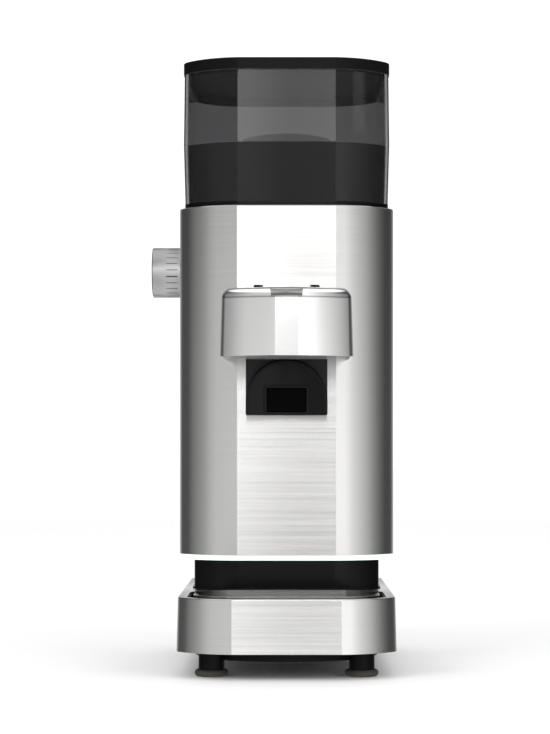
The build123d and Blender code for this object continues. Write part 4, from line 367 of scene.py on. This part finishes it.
def polished(name, colour):
    """Polished plate with faint wiping marks and a little haze."""
    f = Finish(name, Metallic=1.0)
    smear = f.noise(30, 3, 0.6, (1, 1, 0.3))
    haze = f.noise(7, 2)
    f.set("Base Color", f.blend(haze, shade(colour, 0.97), shade(colour, 1.03)))
    f.set("Roughness", 0.10 + smear * 0.05 + haze * 0.03)
    f.bump(f.noise(14, 1), 0.02, 0.3 * MM)
    return f.material


def moulded(name, colour, roughness, grain_size=2200, strength=0.12, sheen=0.1):
    """Moulded plastic with a fine spark-eroded grain and lighter rubbed patches."""
    f = Finish(name, IOR=1.5, Specular_IOR_Level=sheen)
    grain = f.noise(grain_size, 2)
    patch = f.noise(24, 3, 0.6)
    f.set("Base Color", f.blend(patch, shade(colour, 0.85), shade(colour, 1.25)))
    f.set("Roughness", roughness + (patch - 0.5) * 0.12 + (grain - 0.5) * 0.06)
    f.bump(grain, strength, 0.05 * MM)
    return f.material


def rubber(name, colour):
    """Soft rubber with dust in its grain."""
    f = Finish(name, IOR=1.48)
    dust = f.noise(420, 4, 0.7)
    f.set("Base Color", f.blend(dust, colour, shade(colour, 2.0)))
    f.set("Roughness", 0.62 + dust * 0.2)
    f.bump(f.noise(1500, 2), 0.2, 0.06 * MM)
    return f.material


def smoked(name, tint):
    """Smoke-tinted clear plastic with a few fine wiping scratches."""
    f = Finish(name, Transmission_Weight=1.0, IOR=1.4)
    wipe = f.noise(240, 3, 0.6, (1, 1, 0.05))
    cloud = f.noise(6, 2)
    f.set("Base Color", f.blend(cloud, shade(tint, 0.97), shade(tint, 1.03)))
    f.set("Roughness", 0.01 + wipe * 0.03)
    return f.material


def glowing(name, colour, strength):
    """Lit diffuser: its colour and glow vary a little in small random patches."""
    f = Finish(name, Roughness=0.3, Emission_Strength=strength)
    cells = f.noise(40, 1)
    f.set("Base Color", f.blend(cells, shade(colour, 0.9), colour))
    f.set("Emission Color", f.blend(cells, shade(colour, 0.93), colour))
    return f.material


def machined(name, colour, roughness, metallic=1.0):
    """Turned or cast metal with fine tool marks."""
    f = Finish(name, Metallic=metallic, Anisotropic=0.4)
    marks = f.noise(700, 2, 0.5, (1, 1, 0.1))
    cast = f.noise(90, 4, 0.6)
    f.set("Base Color", f.blend(cast, shade(colour, 0.82), shade(colour, 1.1)))
    f.set("Roughness", roughness + (marks - 0.5) * 0.15 + (cast - 0.5) * 0.1)
    f.bump(marks * 0.5 + cast * 0.5, 0.12, 0.1 * MM)
    return f.material


def circuit(name, colour):
    """Board lacquer with darker copper runs under it."""
    f = Finish(name, Coat_Weight=0.5, IOR=1.5)
    cells = {"Vector": f.place, "Scale": 160, "Randomness": 0.6}
    runs = f.add("ShaderNodeTexVoronoi", cells, distance="MANHATTAN")
    grain = f.noise(300, 2)
    f.set("Base Color", f.blend(runs * 0.8 + grain * 0.2, shade(colour, 0.5), shade(colour, 1.3)))
    f.set("Roughness", 0.35 + grain * 0.2)
    return f.material


def recipes():
    """Each slot's finish: the function that makes it, and what that takes after the name."""
    c = bpy.context.scene.grinder_finish
    steel, black = tuple(c.steel), tuple(c.black)
    return {
        "brushed_case": (brushed, steel, c.steel_roughness, 1.0, True),
        "tray_steel": (brushed, shade(steel, 0.4), 0.22, 0.8, True),
        # Hood plate: the case steel, rougher, with its colour halved as painted shade on the sloping plate.
        "satin_plate": (brushed, shade(steel, 0.5), 0.36, 0.7, True),
        "dial_aluminium": (brushed, (0.44, 0.44, 0.44), 0.30, 0.7),
        "dial_ink": (moulded, (0.10, 0.10, 0.10), 0.5),
        "polished": (polished, tuple(c.chrome)),
        "black_case": (moulded, black, 0.42),
        "black_gloss": (moulded, shade(black, 0.8), 0.2, 900, 0.03, 0.16),
        "lid_black": (moulded, shade(black, 1.1), 0.38, 1800, 0.08),
        "button_black": (moulded, shade(black, 0.3), 0.3, 1500, 0.05, 0.02),
        "cradle_grey": (moulded, shade(black, 4.0), 0.42, 1600, 0.12, 0.2),
        "pads": (rubber, (0.035, 0.032, 0.026)),
        "diffuser": (glowing, tuple(c.glow), c.glow_strength),
        "smoke": (smoked, tuple(c.smoke)),
        "smoke_funnel": (moulded, (0.012, 0.012, 0.0125), 0.4, 1500, 0.05),
        "boards": (circuit, (0.03, 0.12, 0.06)),
        "inner_steel": (machined, (0.55, 0.55, 0.56), 0.38),
        "hard_steel": (machined, (0.60, 0.60, 0.61), 0.24),
        "cast": (machined, (0.52, 0.52, 0.53), 0.5),
        "inner_brass": (machined, (0.72, 0.52, 0.24), 0.3),
        "gear_plastic": (moulded, (0.62, 0.60, 0.54), 0.45),
        "magnet": (machined, (0.08, 0.08, 0.085), 0.55, 0.3),
    }


def finish(slot):
    """The slot's material. It is made the first time that it is asked for."""
    made = bpy.data.materials.get(slot + "_finish")
    if made:
        return made
    make, *values = recipes()[slot]
    return make(slot, *values)


def dress(*nodes):
    """CAD nodes keep their shape and take their slot's material."""
    for name in nodes:
        node = frame["nodes"][name]
        node.data.materials.clear()
        node.data.materials.append(finish(SLOT_OF[name]))


# ---------------------------------------------------------------- stage
def light_tent(sizes):
    """Upright screen round the object that only its reflections see, graded from front to back."""
    bm = bmesh.new()
    bmesh.ops.create_cone(bm, cap_ends=False, segments=RING_STEPS, radius1=sizes.tent_radius,
                          radius2=sizes.tent_radius, depth=TENT_TALL)
    tent = new_object("light_tent", bm)
    for ray in ("camera", "diffuse", "transmission", "volume_scatter", "shadow"):
        setattr(tent, "visible_" + ray, False)
    material = bpy.data.materials.new("light_tent")
    material.use_nodes = True
    material.node_tree.nodes.clear()
    s = Sheet(material.node_tree)
    place = s.add("ShaderNodeTexCoord", output="Object")
    parts = s.node("ShaderNodeSeparateXYZ", {"Vector": place})
    x, y = Wire(s, parts.outputs["X"]), Wire(s, parts.outputs["Y"])
    angle = s.add("ShaderNodeMath", {0: x, 1: 0 - y}, operation="ARCTAN2")
    turn = angle / (2 * pi) + 0.5
    stops = [(degrees / 360 + 0.5, light) for degrees, light in TENT_LIGHT]
    round_light = s.add("ShaderNodeValToRGB", {"Fac": turn}, stops=stops)
    height = Wire(s, parts.outputs["Z"]) / TENT_SCALE
    stops = [(z / TENT_SCALE, light) for z, light in TENT_HEIGHT]
    high_light = s.add("ShaderNodeValToRGB", {"Fac": height}, stops=stops)
    aside = s.add("ShaderNodeMath", {0: turn - 0.5}, operation="ABSOLUTE")
    aside = s.add("ShaderNodeMath", {0: aside, 1: TENT_FRONT / 360}, operation="GREATER_THAN")
    stops = [(z / TENT_SCALE, light) for z, light in FRONT_HEIGHT]
    front_light = s.add("ShaderNodeValToRGB", {"Fac": height}, stops=stops)
    light = round_light * (aside * high_light + (1 - aside) * front_light)
    glow = s.node("ShaderNodeEmission", {"Color": light, "Strength": 1.0})
    out = s.node("ShaderNodeOutputMaterial")
    s.tree.links.new(glow.outputs[0], out.inputs["Surface"])
    tent.data.materials.append(material)
    return tent


def new_object(name, bm):
    """Object at the origin from a bmesh."""
    mesh = bpy.data.meshes.new(name)
    bm.to_mesh(mesh)
    bm.free()
    thing = bpy.data.objects.new(name, mesh)
    bpy.context.scene.collection.objects.link(thing)
    return thing


def area_light(name, place, size, power):
    """Soft rectangular lamp aimed at the middle of the object."""
    lamp = bpy.data.lights.new(name, "AREA")
    lamp.shape = "RECTANGLE"
    lamp.size, lamp.size_y = size
    lamp.energy = power
    thing = bpy.data.objects.new(name, lamp)
    thing.location = place
    thing.rotation_euler = (Vector(LAMP_TARGET) - Vector(place)).to_track_quat("-Z", "Y").to_euler()
    thing.visible_camera = thing.visible_glossy = False
    bpy.context.scene.collection.objects.link(thing)


# ---------------------------------------------------------------- shapes
def settled(thing, name):
    """Plain object with another one's modifiers applied. The other one is removed."""
    graph = bpy.context.evaluated_depsgraph_get()
    mesh = bpy.data.meshes.new_from_object(thing.evaluated_get(graph))
    mesh.name = name
    bpy.data.objects.remove(thing)
    plain = bpy.data.objects.new(name, mesh)
    bpy.context.scene.collection.objects.link(plain)
    return plain


def outline(width, depth, centre_y, inset, wide, tight, sweep, crease):
    """Points of a creased outline, anticlockwise, moved inwards by inset."""
    half_w, half_d = width / 2 - inset, depth / 2 - inset
    wide, tight = wide - inset, max(tight - inset, LEAST_RADIUS)
    flat = half_w - wide * (sin(sweep) - sin(crease)) - tight * (1 - sin(sweep))
    middle = Vector((flat - wide * sin(crease), half_d - wide * cos(crease)))
    corner = middle + (wide - tight) * Vector((sin(sweep), cos(sweep)))
    quarter = []
    for i in range(ARC_STEPS + 1):
        a = crease + (sweep - crease) * i / ARC_STEPS
        quarter.append(middle + wide * Vector((sin(a), cos(a))))
    for i in range(1, ARC_STEPS + 1):
        a = sweep + (pi / 2 - sweep) * i / ARC_STEPS
        quarter.append(corner + tight * Vector((sin(a), cos(a))))
    turns = ((1, -1, 1), (1, 1, -1), (-1, 1, 1), (-1, -1, -1))
    return [(sx * p.x, centre_y + sy * p.y) for sx, sy, way in turns for p in quarter[::way]]


def loft(name, levels, shape):
    """Closed solid through the outlines that shape makes for each level's inset, capped at both ends."""
    bm = bmesh.new()
    rows = [[bm.verts.new((x, y, z)) for x, y in shape(inset)] for inset, z in levels]
    for low, high in zip(rows, rows[1:]):
        for i, a in enumerate(low):
            j = (i + 1) % len(low)
            bm.faces.new((a, low[j], high[j], high[i]))
    bm.faces.new(rows[-1])
    bm.faces.new(rows[0][::-1])
    return new_object(name, bm)


def hull(name, points):
    """Convex solid through its corners."""
    bm = bmesh.new()
    corners = [bm.verts.new(p) for p in points]
    bmesh.ops.convex_hull(bm, input=corners)
    bmesh.ops.dissolve_limit(bm, angle_limit=radians(0.1), verts=bm.verts, edges=bm.edges)
    bmesh.ops.recalc_face_normals(bm, faces=bm.faces)
    return new_object(name, bm)


def bore(name, radius, x, y, low, high):
    """Upright cutter for a round hole."""
    bm = bmesh.new()
    bmesh.ops.create_cone(
        bm, cap_ends=True, segments=BORE_STEPS, radius1=radius, radius2=radius, depth=high - low)
    bmesh.ops.translate(bm, verts=bm.verts, vec=(x, y, (low + high) / 2))
    return new_object(name, bm)


def cut(thing, name, *tools):
    """Takes the tools away from a solid."""
    for tool in tools:
        step = thing.modifiers.new("cut", "BOOLEAN")
        step.operation, step.solver, step.object = "DIFFERENCE", "EXACT", tool
    plain = settled(thing, name)
    for tool in tools:
        bpy.data.objects.remove(tool)
    return plain


def stand_for(piece, slot, sharp, *nodes):
    """Gives a piece its finish, its body and the nodes that it stands for. Edges above sharp stay sharp."""
    piece.data.polygons.foreach_set("use_smooth", [True] * len(piece.data.polygons))
    piece.data.set_sharp_from_angle(angle=sharp)
    piece.data.materials.clear()
    piece.data.materials.append(finish(slot))
    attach(piece, BODY_OF[nodes[0]])
    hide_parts(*nodes)


class Pattern(Sheet):
    """A Geometry Nodes tree with named inputs, which ends as a plain mesh."""

    def __init__(self, name, **inputs):
        super().__init__(bpy.data.node_groups.new(name, "GeometryNodeTree"))
        self.name, self.inputs = name, inputs
        face = self.tree.interface
        face.new_socket("Geometry", in_out="OUTPUT", socket_type="NodeSocketGeometry")
        self.ids = {}
        for key, value in inputs.items():
            kind = "NodeSocketInt" if isinstance(value, int) else "NodeSocketFloat"
            self.ids[key] = face.new_socket(key, in_out="INPUT", socket_type=kind).identifier
        self.source = self.node("NodeGroupInput")

    def __getitem__(self, key):
        return Wire(self, self.source.outputs[key])

    def finished(self, geometry, material):
        real = self.add("GeometryNodeRealizeInstances", {0: geometry})
        coloured = self.add("GeometryNodeSetMaterial", {"Geometry": real, "Material": material})
        self.node("NodeGroupOutput", {0: coloured})
        holder = new_object(self.name + "_holder", bmesh.new())
        step = holder.modifiers.new("pattern", "NODES")
        step.node_group = self.tree
        for key, value in self.inputs.items():
            step[self.ids[key]] = value
        return settled(holder, self.name)


# ---------------------------------------------------------------- operators
class GRINDER_OT_stage(bpy.types.Operator):
    """Camera, floor, surroundings and lights"""

    bl_idname = "grinder.stage"
    bl_label = "Stage"

    def execute(self, context):
        sizes = context.scene.grinder_stage
        camera = bpy.data.cameras.new("camera")
        camera.lens = sizes.lens
        camera.sensor_width = SENSOR_WIDTH
        camera.clip_end = CAMERA_REACH
        camera.shift_x, camera.shift_y = CAMERA_SHIFT
        view = bpy.data.objects.new("camera", camera)
        view.location = (0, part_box("base_shell")[0].y - sizes.distance, sizes.height)
        view.rotation_euler = (radians(90), 0, 0)
        context.scene.collection.objects.link(view)
        context.scene.camera = view

        bm = bmesh.new()
        bmesh.ops.create_circle(bm, cap_ends=True, segments=RING_STEPS, radius=FLOOR_RADIUS)
        floor = new_object("floor", bm)
        f = Finish("floor", Roughness=0.7)
        f.set("Base Color", f.blend(f.noise(3, 3), (0.90, 0.90, 0.90), (0.93, 0.93, 0.93)))
        floor.data.materials.append(f.material)
        floor.visible_glossy = False
        light_tent(sizes)

        world = bpy.data.worlds.new("surroundings")
        context.scene.world = world
        world.use_nodes = True
        sky = world.node_tree.nodes["Background"]
        sky.inputs["Color"].default_value = (1, 1, 1, 1)
        sky.inputs["Strength"].default_value = sizes.background
        context.scene.view_settings.view_transform = "Standard"
        for lamp in LAMPS:
            area_light(*lamp)
        return {"FINISHED"}


class GRINDER_OT_dress(bpy.types.Operator):
    """Materials of every piece that keeps its machined shape"""

    bl_idname = "grinder.dress"
    bl_label = "Machined pieces"

    def execute(self, context):
        dress(*frame["nodes"])
        return {"FINISHED"}


def hood_levels(sizes, inset, foot, top):
    """Inset and height of each level of the hood, from the foot over the rounded top edge."""
    radius, top = sizes.edge - inset, top - inset
    start = top - radius * (1 - sin(sizes.draft))
    centre = inset + (start - foot) * tan(sizes.draft) + radius * cos(sizes.draft)
    low = foot - (MM if inset else 0)
    rows = [(inset + (z - foot) * tan(sizes.draft), z) for z in (low, start - EDGE_LEAD)]
    for i in range(EDGE_STEPS + 1):
        a = sizes.draft + (pi / 2 - sizes.draft) * i / EDGE_STEPS
        rows.append((centre - radius * cos(a), top - radius * (1 - sin(a))))
    return rows


def slope_block(name, lift, grow, height, start):
    """Block on the hood's sloping seat, narrower at its front, which is start behind the hood's front.

    Lift moves its underside off the slope, and grow widens it and takes it further back.
    """
    s = bpy.context.scene.grinder_hood
    low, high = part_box("hood_shell")
    points = []
    for way in (start, s.plate_run + grow):
        half = (s.plate_front + (s.plate_rear - s.plate_front) * way / s.plate_run) / 2 + grow
        z = high.z - s.plate_drop * (1 - way / s.plate_run) + lift
        for x in (-half, half):
            points.append((x, low.y + way, z))
            points.append((x, low.y + way, z + height))
    return hull(name, points)


class GRINDER_OT_hood(bpy.types.Operator):
    """Polished hood over the outlet, with the seat of its sloping plate"""

    bl_idname = "grinder.hood"
    bl_label = "Hood"

    def execute(self, context):
        c, s = context.scene.grinder_corners, context.scene.grinder_hood
        low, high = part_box("hood_shell")
        tower_low, tower_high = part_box("body_sleeve")
        width, reach = high.x - low.x, 2 * (high.y + 3 * s.edge - low.y)
        hood_turns = (c.hood_wide, c.hood_tight, c.hood_sweep, c.crease)
        tower_turns = (c.tower_wide, c.tower_tight, c.tower_sweep, c.crease)
        bottom, top = low.z - CUTTER_REACH, high.z + CUTTER_REACH

        def hood_shape(inset):
            return outline(width, reach, low.y + reach / 2, inset, *hood_turns)

        def tower_shape(inset):
            size, centre = tower_high - tower_low, (tower_low + tower_high) / 2
            return outline(size.x, size.y, centre.y, inset, *tower_turns)

        deep = s.plate_thickness + s.wall
        above = slope_block("above", -deep, INSIDE_SLOPE_GROWTH, SLOPE_CUTTER_HEIGHT, -SLOPE_CUTTER_AHEAD)
        inside = cut(loft("inside", hood_levels(s, s.wall, low.z, high.z), hood_shape), "inside", above)
        tower = loft("tower", ((0, bottom), (0, top)), tower_shape)
        bores = []
        for node in ("single_cup_button", "double_cup_button"):
            a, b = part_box(node)
            spot = (a + b) / 2
            bores.append(bore("bore", BUTTON_BORE_RADIUS, spot.x, spot.y, high.z - CUTTER_REACH, top))
        seat = slope_block("seat", -s.plate_thickness, PLATE_GAP, SLOPE_CUTTER_HEIGHT, -SLOPE_CUTTER_AHEAD)
        hood = loft("hood", hood_levels(s, 0, low.z, high.z), hood_shape)
        hood = cut(hood, "hood", inside, tower, seat, *bores)
        stand_for(hood, "polished", HOOD_SHARP, "hood_shell")
        return {"FINISHED"}


class GRINDER_OT_plate(bpy.types.Operator):
    """Satin plate let into the hood's sloping front"""

    bl_idname = "grinder.plate"
    bl_label = "Hood plate"

    def execute(self, context):
        thick = context.scene.grinder_hood.plate_thickness
        plate = slope_block("hood_plate_trim", -thick + PLATE_LIFT, 0.0, thick, PLATE_SETBACK)
        edge = plate.modifiers.new("edge", "BEVEL")
        edge.width, edge.segments, edge.limit_method = PLATE_EDGE, PLATE_EDGE_STEPS, "NONE"
        # Its satin finish carries painted shade: the case steel at half brightness.
        stand_for(settled(plate, "hood_plate_trim"), "satin_plate", PLATE_SHARP, "hood_plate")
        return {"FINISHED"}


class GRINDER_OT_marks(bpy.types.Operator):
    """Dark filling of the dial's engraved marks"""

    bl_idname = "grinder.marks"
    bl_label = "Dial marks"

    def execute(self, context):
        s = context.scene.grinder_dial
        low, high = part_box("dial_knob")
        middle = (low + high) / 2
        fill = MARK_FILL * s.mark_depth
        p = Pattern(
            "dial_marks", Count=s.marks, Radius=(high.z - low.z) / 2 - s.mark_depth + fill / 2,
            Length=s.mark_length, Width=s.mark_width, Depth=fill, Bold=s.bold, First=s.first)
        index = p.add("GeometryNodeInputIndex")
        turn = p["First"] + index * (2 * pi / s.marks)
        sine = p.add("ShaderNodeMath", {0: turn}, operation="SINE")
        cosine = p.add("ShaderNodeMath", {0: turn}, operation="COSINE")
        spot = p.add("ShaderNodeCombineXYZ", {
            "X": low.x + s.mark_start + s.mark_length / 2,
            "Y": middle.y - p["Radius"] * cosine, "Z": middle.z - p["Radius"] * sine})
        points = p.add("GeometryNodePoints", {"Count": p["Count"], "Position": spot})
        size = p.add("ShaderNodeCombineXYZ", {"X": p["Length"], "Y": p["Depth"], "Z": p["Width"]})
        bar = p.add("GeometryNodeMeshCube", {"Size": size})
        first = p.add("ShaderNodeMath", {0: index, 1: 0.5}, operation="LESS_THAN")
        wide = 1 + first * (p["Bold"] - 1)
        marks = p.add("GeometryNodeInstanceOnPoints", {
            "Points": points, "Instance": bar,
            "Rotation": p.add("ShaderNodeCombineXYZ", {"X": turn}),
            "Scale": p.add("ShaderNodeCombineXYZ", {"X": 1.0, "Y": 1.0, "Z": wide})})
        piece = p.finished(marks, finish("dial_ink"))
        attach(piece, BODY_OF["dial_knob"])
        return {"FINISHED"}


class GRINDER_PT_panel(bpy.types.Panel):
    """Lists the steps in the sidebar"""

    bl_label = "Grinder"
    bl_space_type = "VIEW_3D"
    bl_region_type = "UI"
    bl_category = "Grinder"

    def draw(self, context):
        for step in STEPS:
            self.layout.operator(step.bl_idname)


STEPS = (GRINDER_OT_stage, GRINDER_OT_dress, GRINDER_OT_hood, GRINDER_OT_plate, GRINDER_OT_marks)
GROUPS = {
    "grinder_corners": CornerSizes,
    "grinder_hood": HoodSizes,
    "grinder_finish": FinishColours,
    "grinder_dial": DialSizes,
    "grinder_stage": StageSizes,
}


def register():
    for kind in (*GROUPS.values(), *STEPS, GRINDER_PT_panel):
        bpy.utils.register_class(kind)
    for name, kind in GROUPS.items():
        setattr(bpy.types.Scene, name, bpy.props.PointerProperty(type=kind))


def unregister():
    for name in GROUPS:
        delattr(bpy.types.Scene, name)
    for kind in reversed((*GROUPS.values(), *STEPS, GRINDER_PT_panel)):
        bpy.utils.unregister_class(kind)


def main():
    """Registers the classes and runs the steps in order."""
    register()
    for step in STEPS:
        getattr(bpy.ops.grinder, step.bl_idname.removeprefix("grinder."))()


if __name__ == "__main__":
    main()
